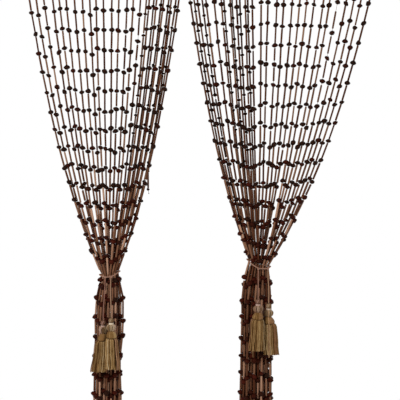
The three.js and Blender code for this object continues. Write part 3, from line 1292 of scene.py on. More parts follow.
@dataclass
class StrandSet:
    """All strands of a half: heading, strings, tubes and beads."""

    half: Half
    bead: BeadShape = BeadShape()
    tube: TubeShape = TubeShape()

    # The strings, and the knot under each one's last bead
    string_radius: float = 0.5
    string_sides: int = 5
    string_tone: float = 0.3
    knot_tone: float = 0.5
    knot_rises: tuple[float, ...] = (3.0, 2.0, 1.0, 0.0)
    knot_radii: tuple[float, ...] = (0.6, 1.3, 1.3, 0.6)

    # Heights: how far beads stray from their rows, and how far the rows rise towards the edges
    row_jitter: float = 2.4
    level_step: float = 3.5
    bundle_step: float = 5.0
    bundle_hang: float = 0.3
    gathered_hang: float = 0.35
    hang_fade: Span = (230.0, 450.0)
    edge_rise: float = 20.0
    rise_from: float = -200.0
    tie_clearance: float = 11.0
    settle_rounds: int = 14
    settle_reach: float = 4.0

    # Above the waist, where the strands are drawn together and where they hang open
    closed_height: float = 60.0
    open_height: float = 330.0

    # How far beads lie off their strand's line
    crooked: Span = (0.5, 0.7)
    bunch: float = 2.0
    tuck: float = 1.6

    # The heading
    strip_height: float = 20.0
    strip_depth: float = 16.0
    strip_bevel: float = 1.2
    bevel_steps: int = 3

    def __post_init__(self) -> None:
        """Lays out the half's strands and beads."""
        self.random = np.random.default_rng(self.half.seed)
        self.strands = strands_of(self.half)
        self.lines = [strand.line() for strand in self.strands]
        if self.half.loose:
            self.lines.append(StrandLine(np.array(self.half.loose)))
        self.beads = self._strung()
        self.stops = self._stops()

    def _row_height(self, strand: Strand, line: StrandLine, row: float) -> float:
        """Where a bead of a row comes to lie on one strand.

        Args:
            strand: The strand.
            line: Its centreline.
            row: The row's height.

        Returns:
            The bead's height.
        """
        half = self.half
        over_waist = row - half.waist.z
        level = in_threes(strand.order)
        if over_waist > 0:
            slack = (row - self.rise_from) / (half.waist.z - self.rise_from)
            kept = lerp(self.gathered_hang, 1, eased(over_waist, *self.hang_fade))
            shift = strand.hang * kept - self.edge_rise * strand.across**2 * max(0.0, slack)
            shift += level * self.level_step * self._gathered(row)
        else:
            shift = strand.hang * self.bundle_hang + level * self.bundle_step
        z = row - shift + self.random.uniform(-self.row_jitter, self.row_jitter)
        x, y, _ = line.at(z)
        tie = half.tie_height(x - half.waist.x, y)
        if abs(z - tie) < self.tie_clearance:
            z = tie + math.copysign(self.tie_clearance, z - tie)
        return z

    def _gathered(self, z: float) -> float:
        """How far the strands are drawn together at a height, from 0 to 1."""
        return 1 - eased(z - self.half.waist.z, self.closed_height, self.open_height)

    def _place(self, bead: Bead) -> np.ndarray:
        """Where a bead lies, a little off its strand's smooth line.

        Above the tie, neighbours lean together in threes. Below it, the strands behind the edge of the
        bundle are tucked inwards.

        Args:
            bead: The bead.

        Returns:
            Its middle.
        """
        middle = self.lines[bead.strand].at(bead.z)
        closed = self._gathered(bead.z)
        crooked = lerp(*self.crooked, closed)
        middle[0] += self.random.uniform(-1, 1) * crooked
        middle[1] += self.random.uniform(-0.5, 0.5) * crooked
        over_waist = bead.z - self.half.waist.z
        if over_waist > 0:
            leaning = eased(over_waist, 0, self.closed_height * 2) * closed
            middle[0] -= in_threes(bead.strand) * self.bunch * leaning
        elif bead.strand < len(self.strands):
            strand = self.strands[bead.strand]
            if abs(strand.across) == 1 and strand.row == 1:
                middle[0] -= strand.across * self.tuck
        return middle

    def _strung(self) -> list[Bead]:
        """Strings the beads, and slides them until neighbours lie beside each other.

        Returns:
            The half's beads, strand by strand, each strand with a small one at its end.
        """
        shape = self.bead
        wide_end = min(self.half.wide_beads) - self.half.rows.pitch / 2
        beads: list[Bead] = []
        for index, (strand, line) in enumerate(zip(self.strands, self.lines)):
            end = line.lowest + shape.end_rise
            for row in self.half.rows.heights(line.lowest):
                z = self._row_height(strand, line, row)
                if z > end + 4 * shape.half_thick and not (strand.wide and z > wide_end):
                    if row < self.half.waist.z:
                        near = shape.gathered_scale
                    else:
                        near = shape.back_scale if strand.behind else 1.0
                    scale = near * (1 + self.random.uniform(-1, 1) * shape.size_jitter)
                    beads.append(Bead(index, z, scale))
            beads.append(Bead(index, end, shape.end_scale))
            if strand.wide:
                beads += [Bead(index, z, 1.0) for z in self.half.wide_beads]
        self._settle(beads)
        for z in self.half.loose_beads:
            beads.append(Bead(len(self.strands), z, shape.loose_scale))
        for bead in beads:
            bead.place = self._place(bead)
        return beads

    def _settle(self, beads: list[Bead]) -> None:
        """Slides beads up or down their strings until close neighbours lie beside each other.

        Args:
            beads: The beads, whose heights change.
        """
        width, thick = 2 * self.bead.half_width, 2 * self.bead.half_thick
        scale = np.array([bead.scale for bead in beads])
        home = np.array([bead.z for bead in beads])
        z = home.copy()
        places = np.array([self.lines[bead.strand].at(bead.z)[:2] for bead in beads])
        apart = np.linalg.norm(places[:, None] - places[None, :], axis=2)
        mean = (scale[:, None] + scale[None, :]) / 2
        close = (apart < width * mean) & (np.abs(home[:, None] - home[None, :]) < 2 * thick)
        np.fill_diagonal(close, False)
        first, second = np.nonzero(np.triu(close))
        share = apart[first, second] / (width * mean[first, second])
        needed = thick * mean[first, second] * np.sqrt(1 - share**2)
        for _ in range(self.settle_rounds):
            gap = z[first] - z[second]
            lacking = np.clip(needed - np.abs(gap), 0, None) / 2
            push = np.where(gap >= 0, lacking, -lacking) / 2
            np.add.at(z, first, push)
            np.add.at(z, second, -push)
            z = np.clip(z, home - self.settle_reach, home + self.settle_reach)
        for bead, height in zip(beads, z):
            bead.z = float(height)

    def _stops(self) -> list[list[Bead]]:
        """Finds what each string passes.

        Returns:
            For each strand the heading, its beads and the place inside the tie, highest first.
        """
        stops: list[list[Bead]] = []
        for index, line in enumerate(self.lines):
            bends = [-self.strip_height]
            if index < len(self.strands):
                x, y, _ = line.at(self.half.waist.z)
                bends.append(self.half.tie_height(x - self.half.waist.x, y))
            stops.append([Bead(index, z, 0.0, line.at(z)) for z in bends])
        for bead in self.beads:
            stops[bead.strand].append(bead)
        return [sorted(row, key=lambda bead: -bead.z) for row in stops]

    def make_strings(self) -> Object:
        """The strings, from inside the heading to a knot under the last bead.

        Returns:
            The piece.
        """
        lines = Lines()
        for line, stops in zip(self.lines, self.stops):
            end = line.at(line.lowest)
            points = [line.at(-self.strip_height / 2), *(stop.place for stop in stops), end]
            lines.add(points, self.string_radius, self.string_tone)
            knot = [end + np.array([0, 0, rise]) for rise in self.knot_rises]
            lines.add(knot, self.knot_radii, self.knot_tone)
        return lines.sweep(self.half.named("strings"), STRING_THREAD.dress(), self.string_sides)

    def make_tubes(self) -> Object:
        """The tubes, one between every two beads.

        Returns:
            The piece.
        """
        lines, tube = Lines(), self.tube
        open_tone, gathered_tone = self.half.tube_tones
        for stops in self.stops:
            tone = self.random.normal(open_tone, tube.tone_spread[0])
            for upper, lower in zip(stops, stops[1:]):
                # Painted light: gathered tubes get a lighter tone
                painted_bundle_light = self.random.normal(gathered_tone - open_tone, tube.uneven_gathered)
                self._add_tube(lines, upper, lower, tone + painted_bundle_light * self._gathered(lower.z))
        material = TUBE_WOOD.dress()
        return lines.sweep(self.half.named("tubes"), material, tube.sides, lobes=1, groove=tube.groove)

    def _add_tube(self, lines: Lines, upper: Bead, lower: Bead, tone: float) -> None:
        """Adds the tube between two stops of a string.

        Args:
            lines: Where the tube is added.
            upper: The stop above it.
            lower: The stop below it.
            tone: Its tone, before its own unevenness.
        """
        tube = self.tube
        gathered = self._gathered(lower.z)
        whole = np.linalg.norm(lower.place - upper.place)
        way = (lower.place - upper.place) / whole
        start = self.bead.half_thick * upper.scale * tube.seat
        end = whole - self.bead.half_thick * lower.scale * tube.seat
        length = min(end - start, tube.longest)
        if length < tube.shortest:
            return
        slack = abs(self.random.normal(0, tube.slack))
        slack += tube.slipped if self.random.random() < tube.slip_chance else 0.0
        if min(upper.scale, lower.scale) > 0:
            length = max(length - slack, tube.shortest)
        start += self.random.uniform(0, 1) * (end - start - length)
        radius = lerp(tube.radius, tube.gathered_radius, gathered)
        radius *= 1 + self.random.uniform(*tube.thickness)
        stations = [0, tube.end_bevel, length / 2, length - tube.end_bevel, length]
        shares = [tube.end_share, 1, 1 + self.random.uniform(*tube.belly), 1, tube.end_share]
        points = [upper.place + way * (start + s) for s in stations]
        own_tone = float(np.clip(tone + self.random.normal(0, tube.tone_spread[1]), 0, 1))
        # The gathered share is the blush, which tints the tube redder: painted light
        lines.add(points, [radius * s for s in shares], own_tone, gathered)

    def make_beads(self) -> Object:
        """The beads, one on every point.

        Returns:
            The piece.
        """
        shape, count = self.bead, len(self.beads)
        mesh = bpy.data.meshes.new("bead_points")
        mesh.from_pydata([bead.place * MM for bead in self.beads], [], [])
        turn = self.random.normal(0, shape.tilt, (count, 3))
        turn[:, 2] = self.random.uniform(0, 2 * math.pi, count)
        scale = np.array([[bead.scale] for bead in self.beads])
        halves = np.array([shape.half_width, shape.half_width, shape.half_thick])
        size = scale * halves * (1 + self.random.uniform(-1, 1, (count, 3)) * shape.size_jitter)
        gathered = np.array([self._gathered(bead.z) for bead in self.beads])
        spread = lerp(*shape.tone_spread, gathered)
        # Painted light: gathered beads get a higher, redder tone
        tone = np.clip(self.random.normal(shape.tone + shape.painted_light_gathered * gathered, spread), 0, 1)
        set_floats(mesh, "turn", turn)
        set_floats(mesh, "size", size * MM)
        set_floats(mesh, "taper", self.random.uniform(-shape.taper, shape.taper, count))
        set_floats(mesh, "tone", tone)
        return BEADING.grow(
            self.half.named("beads"),
            mesh,
            BEAD_WOOD.dress(),
            segments=shape.segments,
            rings=shape.rings,
            pinch=shape.pinch,
            lump_scale=shape.lump_scale,
            lumps=shape.lumps,
        )

    def make_heading(self) -> Object:
        """The wooden strip, with eased edges.

        Returns:
            The piece.
        """
        low, high = self.half.strip
        build = bmesh.new()
        bmesh.ops.create_cube(build, size=1.0)
        size = Vector((high - low, self.strip_depth, self.strip_height)) * MM
        middle = Vector(((low + high) / 2, 0, -self.strip_height / 2)) * MM
        for vertex in build.verts:
            vertex.co = Vector(a * b for a, b in zip(vertex.co, size)) + middle
        bmesh.ops.bevel(
            build,
            geom=build.edges[:],
            offset=self.strip_bevel * MM,
            segments=self.bevel_steps,
            profile=0.5,
            affect="EDGES",
        )
        return plain_piece(self.half.named("heading"), build, HEADING_WOOD.dress())

    def make(self) -> None:
        """Makes the half's pieces, which together stand for its strands."""
        for piece in (self.make_heading(), self.make_strings(), self.make_tubes(), self.make_beads()):
            place_piece(piece, Slot.STRANDS, self.half.named("strands"))


SHARP_ANGLE = 40.0


def plain_piece(name: str, build: bmesh.types.BMesh, material: Material) -> Object:
    """Turns a finished bmesh into an object.

    Args:
        name: The piece's name.
        build: The bmesh, which is freed.
        material: Its finish.

    Returns:
        The object.
    """
    mesh = bpy.data.meshes.new(name)
    bmesh.ops.recalc_face_normals(build, faces=build.faces)
    build.to_mesh(mesh)
    build.free()
    mesh.materials.append(material)
    mesh.shade_smooth()
    mesh.set_sharp_from_angle(angle=math.radians(SHARP_ANGLE))
    return add_object(name, mesh)


def place_piece(piece: Object, slot: Slot, *nodes: str) -> None:
    """Makes a piece ride on the curtain and stand for its solids, and reports it.

    Args:
        piece: The piece.
        slot: The record's slot for the piece's finish. Not used.
        *nodes: The solids that it stands for.
    """
    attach(piece, BODY)
    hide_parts(*nodes)
    piece.data.calc_loop_triangles()
    LOG.info("%s: %d triangles", piece.name, len(piece.data.loop_triangles))


# Ties, tails and tassels


@dataclass(frozen=True)
class TasselSize:
    """One tassel, its tail cord and the knot that it hangs from.

    The tail follows the route from its knot to the top of the tassel. The skirt has its own mean tone, is
    pushed sideways just under the band, widens to a shoulder and leans further at its hem. Each shade is
    a tone and a blush, and the lobes' shades go from the left round the front to the right. The collar's
    and the lobes' shades are partly the yarn's own colours and partly painted highlight and shade. The
    dome has a painted highlight at one angle, where its threads are lighter and pinker, and one lock of
    each ring blushes at another. Each stray thread has an angle and an extra length.
    """

    name: str
    half: Half
    knot: float
    angle: float
    route: tuple[Point, ...]
    ball: float
    dome: float
    skirt: float
    shoulder: float
    push: float
    hem: float
    lean: float
    tail: Shade
    knob: Shade
    # The collar's and the lobes' tones are partly the yarn's colours and partly painted highlight and shade
    collar: Shade
    lobes: tuple[Shade, ...]
    # A painted highlight on the dome: its tone and blush, and the angle where it lies
    dome_highlight: Shade
    highlight_angle: float
    seed: int
    blush: float
    strays: tuple[tuple[float, float], ...] = ()
    loose_cord: float | None = None


TASSELS = (
    TasselSize(
        name="left_a",
        half=LEFT_HALF,
        knot=3.4,
        angle=249,
        route=(
            (-235.4, -26, -800),
            (-236.8, -31, -826),
            (-238.3, -36, -855),
            (-239, -38.8, -874),
            (-239, -39.2, -886.9),
        ),
        ball=11.2,
        dome=11.5,
        skirt=0.48,
        shoulder=1.3,
        push=-5.5,
        hem=19,
        lean=-7,
        tail=(0.46, 0.7),
        knob=(0.5, 0.8),
        collar=(0.8, 0.5),
        lobes=((0.76, 0.5), (0.72, 0.5), (0.36, 0.1), (0.52, 0.0), (0.45, 0.0)),
        dome_highlight=(0.52, 0.15),
        highlight_angle=268,
        seed=11,
        blush=190,
    ),
    TasselSize(
        name="left_b",
        half=LEFT_HALF,
        knot=4.4,
        angle=279,
        route=(
            (-221.3, -29, -798),
            (-220.8, -38, -822),
            (-219.4, -48, -848),
            (-218.4, -54.6, -868),
            (-218.2, -55.5, -879.3),
        ),
        ball=11.8,
        dome=13,
        skirt=0.5,
        shoulder=1.12,
        push=1.5,
        hem=17.5,
        lean=3,
        tail=(0.67, 0.15),
        knob=(0.56, 0.1),
        collar=(1.0, 0.0),
        lobes=((0.74, 0.0), (0.46, 0.0), (0.68, 0.0), (0.8, 0.1), (0.8, 0.4)),
        dome_highlight=(0.72, 0.0),
        highlight_angle=335,
        seed=12,
        blush=335,
        strays=((341, 3),),
    ),
    TasselSize(
        name="right_a",
        half=RIGHT_HALF,
        knot=3.8,
        angle=267,
        route=(
            (144.4, -28.5, -779),
            (144, -37.5, -795),
            (143.4, -46.5, -811),
            (143, -52, -823.5),
            (142.9, -53, -833.3),
        ),
        ball=12.8,
        dome=13.6,
        skirt=0.6,
        shoulder=1.16,
        push=-2,
        hem=18.5,
        lean=-3,
        tail=(0.55, 0.6),
        knob=(0.52, 0.75),
        collar=(0.85, 0.55),
        lobes=((0.5, 0.4), (0.54, 0.5), (0.68, 0.3), (0.5, 0.4), (0.68, 0.4)),
        dome_highlight=(0.58, 0.4),
        highlight_angle=312,
        seed=13,
        blush=190,
        strays=((243, 14),),
    ),
    TasselSize(
        name="right_b",
        half=RIGHT_HALF,
        knot=3.8,
        angle=316,
        route=(
            (168.8, -21.5, -780),
            (169.8, -28, -801),
            (170.1, -34.5, -821.5),
            (169.8, -38, -835),
            (169.7, -38.5, -845),
        ),
        ball=12,
        dome=13,
        skirt=0.47,
        shoulder=1.18,
        push=4,
        hem=19,
        lean=2.5,
        tail=(0.6, 0.1),
        knob=(0.54, 0.15),
        collar=(0.85, 0.2),
        lobes=((0.45, 0.1), (0.5, 0.0), (0.66, 0.0), (0.6, 0.0), (0.5, 0.3)),
        dome_highlight=(0.56, 0.5),
        highlight_angle=300,
        seed=14,
        blush=312,
        loose_cord=262,
    ),
)


# Which two knots each point of a curve's three levels lies between
KNOT_SPANS = (((0, 1), (1, 2), (2, 3)), ((0, 2), (1, 3)), ((1, 2),))
ROUTE_STEPS = 24


def smooth_route(points: Sequence[Sequence[float]], steps: int) -> np.ndarray:
    """A smooth line through given points, evenly stepped by length.

    Args:
        points: The points that it passes.
        steps: How many steps it gets.

    Returns:
        The line's points.
    """
    given = np.array(points, float)
    padded = np.vstack([2 * given[0] - given[1], given, 2 * given[-1] - given[-2]])
    fine = []
    for four in zip(padded, padded[1:], padded[2:], padded[3:]):
        knots = np.cumsum([0, *(np.linalg.norm(b - a) ** 0.5 for a, b in zip(four, four[1:]))])
        for t in np.linspace(knots[1], knots[2], ROUTE_STEPS, endpoint=False):
            level = four
            for spans in KNOT_SPANS:
                level = [
                    a + (b - a) * (t - knots[first]) / (knots[last] - knots[first])
                    for a, b, (first, last) in zip(level, level[1:], spans)
                ]
            fine.append(level[0])
    fine.append(given[-1])
    line = np.array(fine)
    lengths = np.concatenate([[0], np.cumsum(np.linalg.norm(np.diff(line, axis=0), axis=1))])
    even = np.linspace(0, lengths[-1], steps + 1)
    return np.stack([np.interp(even, lengths, line[:, i]) for i in range(3)], axis=1)


def length_of(line: np.ndarray) -> float:
    """The length of a line of points."""
    return float(np.linalg.norm(np.diff(line, axis=0), axis=1).sum())


@dataclass(frozen=True)
class Cord:
    """The cord that ties and tails are made of."""

    radius: float = 1.5
    clearance: float = 0.4
    tail_forward: float = 1.0
    plies: int = 3
    ply_pitch: float = 16.0
    groove: float = 0.12
    sides: int = 12
    knot_strand: float = 1.35
    knot_depth: float = 0.8
    knot_steps: int = 60

    @property
    def twist(self) -> float:
        """The turn of its plies in radians a metre."""
        return 2 * math.pi / (self.ply_pitch * MM)

    def knot_centre(self, tassel: TasselSize) -> np.ndarray:
        """The middle of the knot that a tail hangs from."""
        return tassel.half.tie_point(tassel.angle, self.radius)

    def tail_line(self, tassel: TasselSize, steps: int) -> np.ndarray:
        """A tail's centreline, from under its knot to its tassel.

        Args:
            tassel: The tassel.
            steps: How many steps the line gets.

        Returns:
            Its points.
        """
        knot = self.knot_centre(tassel)
        start = (knot[0], knot[1] - self.tail_forward, knot[2] - tassel.knot - self.clearance)
        return smooth_route([start, *tassel.route], steps)

    def knot_line(self, tassel: TasselSize) -> np.ndarray:
        """An overhand knot pulled tight: the line of a trefoil, which reaches three times its scale.

        Args:
            tassel: The tassel whose tail starts there.

        Returns:
            Its points.
        """
        turn = np.linspace(0, 2 * math.pi, self.knot_steps)
        flat = (tassel.knot - self.knot_strand) / 3
        x = (np.sin(turn) + 2 * np.sin(2 * turn)) * flat
        z = (np.cos(turn) - 2 * np.cos(2 * turn)) * flat
        y = -np.sin(3 * turn) * self.knot_strand * self.knot_depth
        return np.stack([x, y, z], axis=1) + self.knot_centre(tassel)


CORD = Cord()


@dataclass
class TieSet:
    """A half's tie, its two knots and its two tails, all of one cord with one finish."""

    half: Half
    material: Material
    cord: Cord = CORD
    loop_steps: int = 160
    tail_steps: int = 60
    shade: Shade = (0.68, 0.45)

    def __post_init__(self) -> None:
        """Finds the half's own tassels."""
        self.tassels = [tassel for tassel in TASSELS if tassel.half is self.half]

    def _make_cord(self, lines: Lines, name: str, solid: str) -> Object:
        """Sweeps the cord's plies along lines.

        Args:
            lines: The lines.
            name: The piece's name.
            solid: The solid that it stands for.

        Returns:
            The piece.
        """
        cord = self.cord
        piece = lines.sweep(name, self.material, cord.sides, cord.plies, cord.groove, cord.twist)
        place_piece(piece, Slot.CORD, solid)
        return piece

    def make_tie(self) -> None:
        """The loop round the waist with a knot for each tail."""
        lines = Lines()
        start = self.tassels[1].angle
        turns = np.linspace(start, start + 360, self.loop_steps + 1)
        lines.add([self.half.tie_point(degrees) for degrees in turns], self.cord.radius, *self.shade)
        for tassel in self.tassels:
            lines.add(self.cord.knot_line(tassel), self.cord.knot_strand, *self.shade)
        self._make_cord(lines, self.half.named("tie_cord"), self.half.named("tie"))

    def make_tails(self) -> None:
        """The cords that the tassels hang from.
        """
        for tassel in self.tassels:
            path = self.cord.tail_line(tassel, self.tail_steps)
            lines = Lines()
            lines.add(path, self.cord.radius, *tassel.tail)
            piece = self._make_cord(lines, f"tail_cord_{tassel.name}", f"tail_{tassel.name}")
            LOG.info("tail %s is %.0f mm long", tassel.name, length_of(path))


@dataclass(frozen=True)
class TasselForm:
    """The sizes of a tassel, and the heights of its parts, measured down from the top of its knob.

    The skirt's depth is a share of its width, from its root to its hem. The shoulder's length is a share
    of the skirt's.
    """

    knob_radius: float = 7.0
    knob_height: float = 13.0
    petal: float = 1.9
    petal_tip: float = 0.8
    neck_radius: float = 5.0
    neck_drop: float = 34.0
    dome_drop: float = 46.0
    skirt_drop: float = 48.0
    length: float = 128.0
    hem_jitter: float = 2.5
    hem_power: float = 1.8
    depth_root: float = 0.95
    depth_hem: float = 0.83
    root_share: float = 0.8
    deepest_share: float = 1.08
    shoulder_length: float = 0.12
    front_dip: float = 1.6


@dataclass(frozen=True)
class Wrap:
    """A thread wound round a tassel.

    It has the radius of the winding, its first and last height below the top, how many times it goes
    round, and the thread's own radius.
    """

    radius: float
    drops: Span
    turns: int
    thick: float


@dataclass(frozen=True)
class LockRing:
    """One ring of a skirt's locks: its share of the radius, how many locks of how many threads, its tone."""

    share: float
    locks: int
    threads: int
    # Lower for the inner rings: painted shade deep in the skirt
    shade: float


@dataclass
class Tassel:
    """A tassel: a head of knob, collar, looped ball, neck, dome and band, and a skirt of threads in locks."""

    size: TasselSize
    at: TasselForm = TasselForm()

    # The dark core as radii and drops: plain, inside the ball's radius, at the neck, as the dome's share. Its
    # darkness is painted shade between the yarns
    core_top: tuple[Span, ...] = ((1.2, 1.5), (4.2, 4.0), (4.6, 6.5), (4.0, 10.0), (3.8, 13.0), (4.0, 16.2))
    core_in_ball: tuple[Span, ...] = ((4.4, 20.5), (3.6, 24.0), (5.2, 28.5))
    core_neck: Span = (4.4, 33.0)
    core_in_dome: tuple[Span, ...] = ((0.6, 38.0), (0.86, 45.0), (0.8, 48.6))

    # The knob's petals, from near its top to near its underside
    petals: int = 7
    petal_arc: Span = (14.0, 166.0)
    petal_steps: int = 13
    petal_sink: float = 1.2
    petal_twist: float = 34.0
    petal_contrast: float = 0.1

    # The windings. The band's radius is a share of the dome's. The dark windings under the collar, at the
    # neck and at the band are painted shadow
    collar: Wrap = Wrap(5.2, (12.2, 16.2), 3, 0.95)
    # Painted shadow: a dark thread under the collar, where the ball's lobes spring from it
    collar_shadow_winding: Wrap = Wrap(6.1, (17.6, 18.0), 1, 0.6)
    # Painted shadow: the neck is wound with a dark thread
    neck: Wrap = Wrap(5.4, (32.4, 34.3), 2, 0.9)
    # Painted shadow: the band is a dark thread under the dome's lip
    band: Wrap = Wrap(0.86, (47.4, 49.4), 3, 0.9)
    wrap_steps: int = 22
    # Tones of the dark windings: painted shadow under the collar, at the neck and under the dome's lip
    collar_shadow_tone: Shade = (0.1, 0.0)
    neck_shadow_tone: Shade = (0.15, 0.0)
    band_shadow_tone: Shade = (0.06, 0.0)

    # The ball's lobes. The profile is a share of the ball's radius and a drop
    ball_lobes: int = 8
    first_lobe: float = 180.0
    back_lobe: Shade = (0.5, 0.2)
    lobe_yarn: float = 1.62
    lobe_steps: int = 14
    lobe_lift: float = 0.6
    lobe_pair: float = 9.5
    lobe_taper: tuple[Span, Span] = ((0.7, 1.0), (1.0, 0.7))
    lobe_profile: tuple[Span, ...] = (
        (0.3, 17.0), (0.72, 17.9), (0.97, 21.0), (1.0, 24.0), (0.9, 27.4), (0.66, 30.6), (0.42, 33.2)
    )

    # The dome's threads. The lip is where they turn in under it: an inset, a share and a drop
    dome_threads: int = 44
    dome_steps: int = 9
    dome_start: float = 32.8
    dome_insets: Span = (0.6, 0.8)
    dome_swell: float = 0.62
    dome_lip: Point = (1.2, 0.94, 48.0)
    dome_tone: Span = (0.45, 0.09)
    dome_radius: float = 1.02
    dome_lean: float = 0.5
    # How far round the dome its painted highlight reaches, in degrees
    highlight_reach: float = 40.0

    # The skirt's locks and threads. A drift is sideways, in depth and the phase of the waves
    rings: tuple[LockRing, ...] = (
        LockRing(0.98, 15, 4, 0.0),
        # The inner rings are darker: painted shade deep in the skirt
        LockRing(0.84, 13, 4, -0.2),
        LockRing(0.6, 9, 4, -0.3),
        LockRing(0.34, 6, 4, -0.3),
    )
    skirt_steps: int = 18
    waves: float = 8.5
    thread_radius: float = 0.8
    thread_pitch: float = 1.5
    lock_jitter: float = 3.0
    lock_spread: float = 0.06
    thread_spread: float = 0.2
    darkest: float = 0.02
    drift: tuple[Point, Point] = ((0.4, 0.4, 0.0), (1.5, 1.3, 2 * math.pi))
    own_drift: Point = (0.3, 0.3, 0.8)
    blush_reach: float = 22.0
    blush_shade: Shade = (0.5, 0.6)

    # A stray thread, and a looser cord that lies over the skirt: drops and shares of the ball's radius
    stray_share: float = 1.04
    stray_drift: Span = (1.0, 0.5)
    stray_thick: float = 0.56
    stray_shade: Shade = (0.62, 0.2)
    cord_thick: float = 1.04
    cord_shade: Shade = (0.74, 0.5)
    cord_route: tuple[Span, ...] = (
        (18, 0.86), (22, 1.06), (27, 1.04), (34, 0.9), (41, 1.0),
        (47, 1.2), (60, 1.28), (90, 1.26), (131, 1.2),
    )

    def __post_init__(self) -> None:
        """Finds where the tassel hangs."""
        self.random = np.random.default_rng(self.size.seed)
        self.top = np.array(self.size.route[-1], float) - np.array([0, 0, CORD.clearance])

    def _dome_share(self, drop: float) -> float:
        """How far a height has come from the neck to the dome's edge, from 0 to 1."""
        return eased(drop, self.at.neck_drop, self.at.dome_drop)

    def _axis(self, drop: float) -> np.ndarray:
        """The middle at a height below the top. The dome leans the way the skirt is pushed."""
        lean = self.dome_lean * self.size.push * self._dome_share(drop)
        return self.top + np.array([lean, 0, -drop])

    def _ring_point(self, radius: float, degrees: float, drop: float) -> np.ndarray:
        """A point of a turned form.

        Args:
            radius: Its distance from the tassel's axis.
            degrees: Its angle. The front is at 270 degrees.
            drop: Its height below the top.

        Returns:
            The point.
        """
        angle = math.radians(degrees)
        sag = self.at.front_dip * self._dome_share(drop) * math.sin(angle)
        return self._axis(drop) + np.array([radius * math.cos(angle), radius * math.sin(angle), sag])

    def _wind(self, lines: Lines, wrap: Wrap, shade: Shade, scale: float = 1.0) -> None:
        """Winds a thread round the tassel.

        Args:
            lines: Where the thread is added.
            wrap: The winding.
            shade: The thread's tone and blush.
            scale: What the winding's radius is multiplied by.
        """
        steps = wrap.turns * self.wrap_steps
        line = [
            self._ring_point(wrap.radius * scale, 360 * wrap.turns * i / steps, lerp(*wrap.drops, i / steps))
            for i in range(steps + 1)
        ]
        lines.add(line, wrap.thick, *shade)

    def _knob(self, lines: Lines) -> None:
        """A rosette of fat twisted yarns round a dark middle.

        Args:
            lines: Where the yarns are added.
        """
        at = self.at
        tone, blush = self.size.knob
        middle = at.knob_height / 2
        for petal in range(self.petals):
            line = []
            thick = []
            for polar in np.linspace(*self.petal_arc, self.petal_steps):
                swell = math.sin(math.radians(polar))
                side = math.cos(math.radians(polar))
                turn = 360 * petal / self.petals + self.petal_twist * side
                drop = middle - (middle - self.petal_sink) * side
                line.append(self._ring_point((at.knob_radius - at.petal) * swell, turn, drop))
                thick.append(lerp(at.petal_tip, at.petal, swell))
            lines.add(line, thick, tone + self.petal_contrast * in_threes(petal), blush)

    def _ball(self, lines: Lines) -> None:
        """Lobes of two looped yarns each, that spring from the collar and are drawn in at the neck.

        Args:
            lines: Where the yarns are added.
        """
        shares, drops = zip(*self.lobe_profile)
        fine = np.linspace(drops[0], drops[-1], self.lobe_steps)
        reaches = np.interp(fine, drops, shares) * (self.size.ball - self.lobe_yarn)
        thick = np.interp(np.linspace(0, 1, self.lobe_steps), *self.lobe_taper) * self.lobe_yarn
        for lobe in range(self.ball_lobes):
            middle = self.first_lobe + 360 * lobe / self.ball_lobes
            # The front lobes' shades are partly painted highlight and shade
            shade = self.size.lobes[lobe] if lobe < len(self.size.lobes) else self.back_lobe
            lift = self.random.uniform(-self.lobe_lift, self.lobe_lift)
            for degrees in (middle - self.lobe_pair, middle + self.lobe_pair):
                line = [self._ring_point(reach, degrees, drop + lift) for reach, drop in zip(reaches, fine)]
                lines.add(line, thick, *shade)

    def _dome(self, lines: Lines) -> None:
        """Threads drawn smoothly from the neck over the dome and in under its lip.

        Args:
            lines: Where the threads are added.
        """
        at, size = self.at, self.size
        neck = at.neck_radius - self.dome_insets[0]
        edge = size.dome - self.dome_insets[1]
        inset, lip_share, lip_drop = self.dome_lip
        for thread in range(self.dome_threads):
            degrees = 360 * thread / self.dome_threads
            line = []
            for share in np.linspace(0, 1, self.dome_steps):
                radius = lerp(neck, edge, math.sin(share * math.pi / 2) ** self.dome_swell)
                line.append(self._ring_point(radius, degrees, lerp(self.dome_start, at.dome_drop, share)))
            line.append(self._ring_point((size.dome - inset) * lip_share, degrees, lip_drop))
            # Painted highlight: threads near one angle of the dome are lighter and pinker
            highlight = 1 - eased(turn_between(degrees, size.highlight_angle), self.highlight_reach / 2, self.highlight_reach)
            tone = lerp(self.random.normal(*self.dome_tone), size.dome_highlight[0], highlight)
            lines.add(line, self.dome_radius, float(np.clip(tone, 0, 1)), size.dome_highlight[1] * highlight)

    def _core(self, lines: Lines) -> None:
        """The dark filling that closes the head between its yarns.

        Args:
            lines: Where it is added.
        """
        form = [
            *self.core_top,
            *((self.size.ball - inset, drop) for inset, drop in self.core_in_ball),
            self.core_neck,
            *((self.size.dome * share, drop) for share, drop in self.core_in_dome),
        ]
        # The filling takes tone 0, the darkest: painted shade in the gaps between the yarns
        lines.add([self._axis(drop) for _, drop in form], [radius for radius, _ in form], 0.0)

    def make_head(self, material: Material) -> Object:
        """The knob, the collar, the ball and the neck.

        Args:
            material: The yarn's finish.

        Returns:
            The head.
        """
        lines = Lines()
        self._core(lines)
        self._knob(lines)
        self._wind(lines, self.collar, self.size.collar)
        # The dark winding under the collar is painted shadow
        self._wind(lines, self.collar_shadow_winding, self.collar_shadow_tone)
        self._ball(lines)
        # The dark neck winding is painted shadow
        self._wind(lines, self.neck, self.neck_shadow_tone)
        head = lines.sweep(f"tassel_head_{self.size.name}", material, sides=8)
        place_piece(head, Slot.TASSEL, f"tassel_{self.size.name}")
        return head

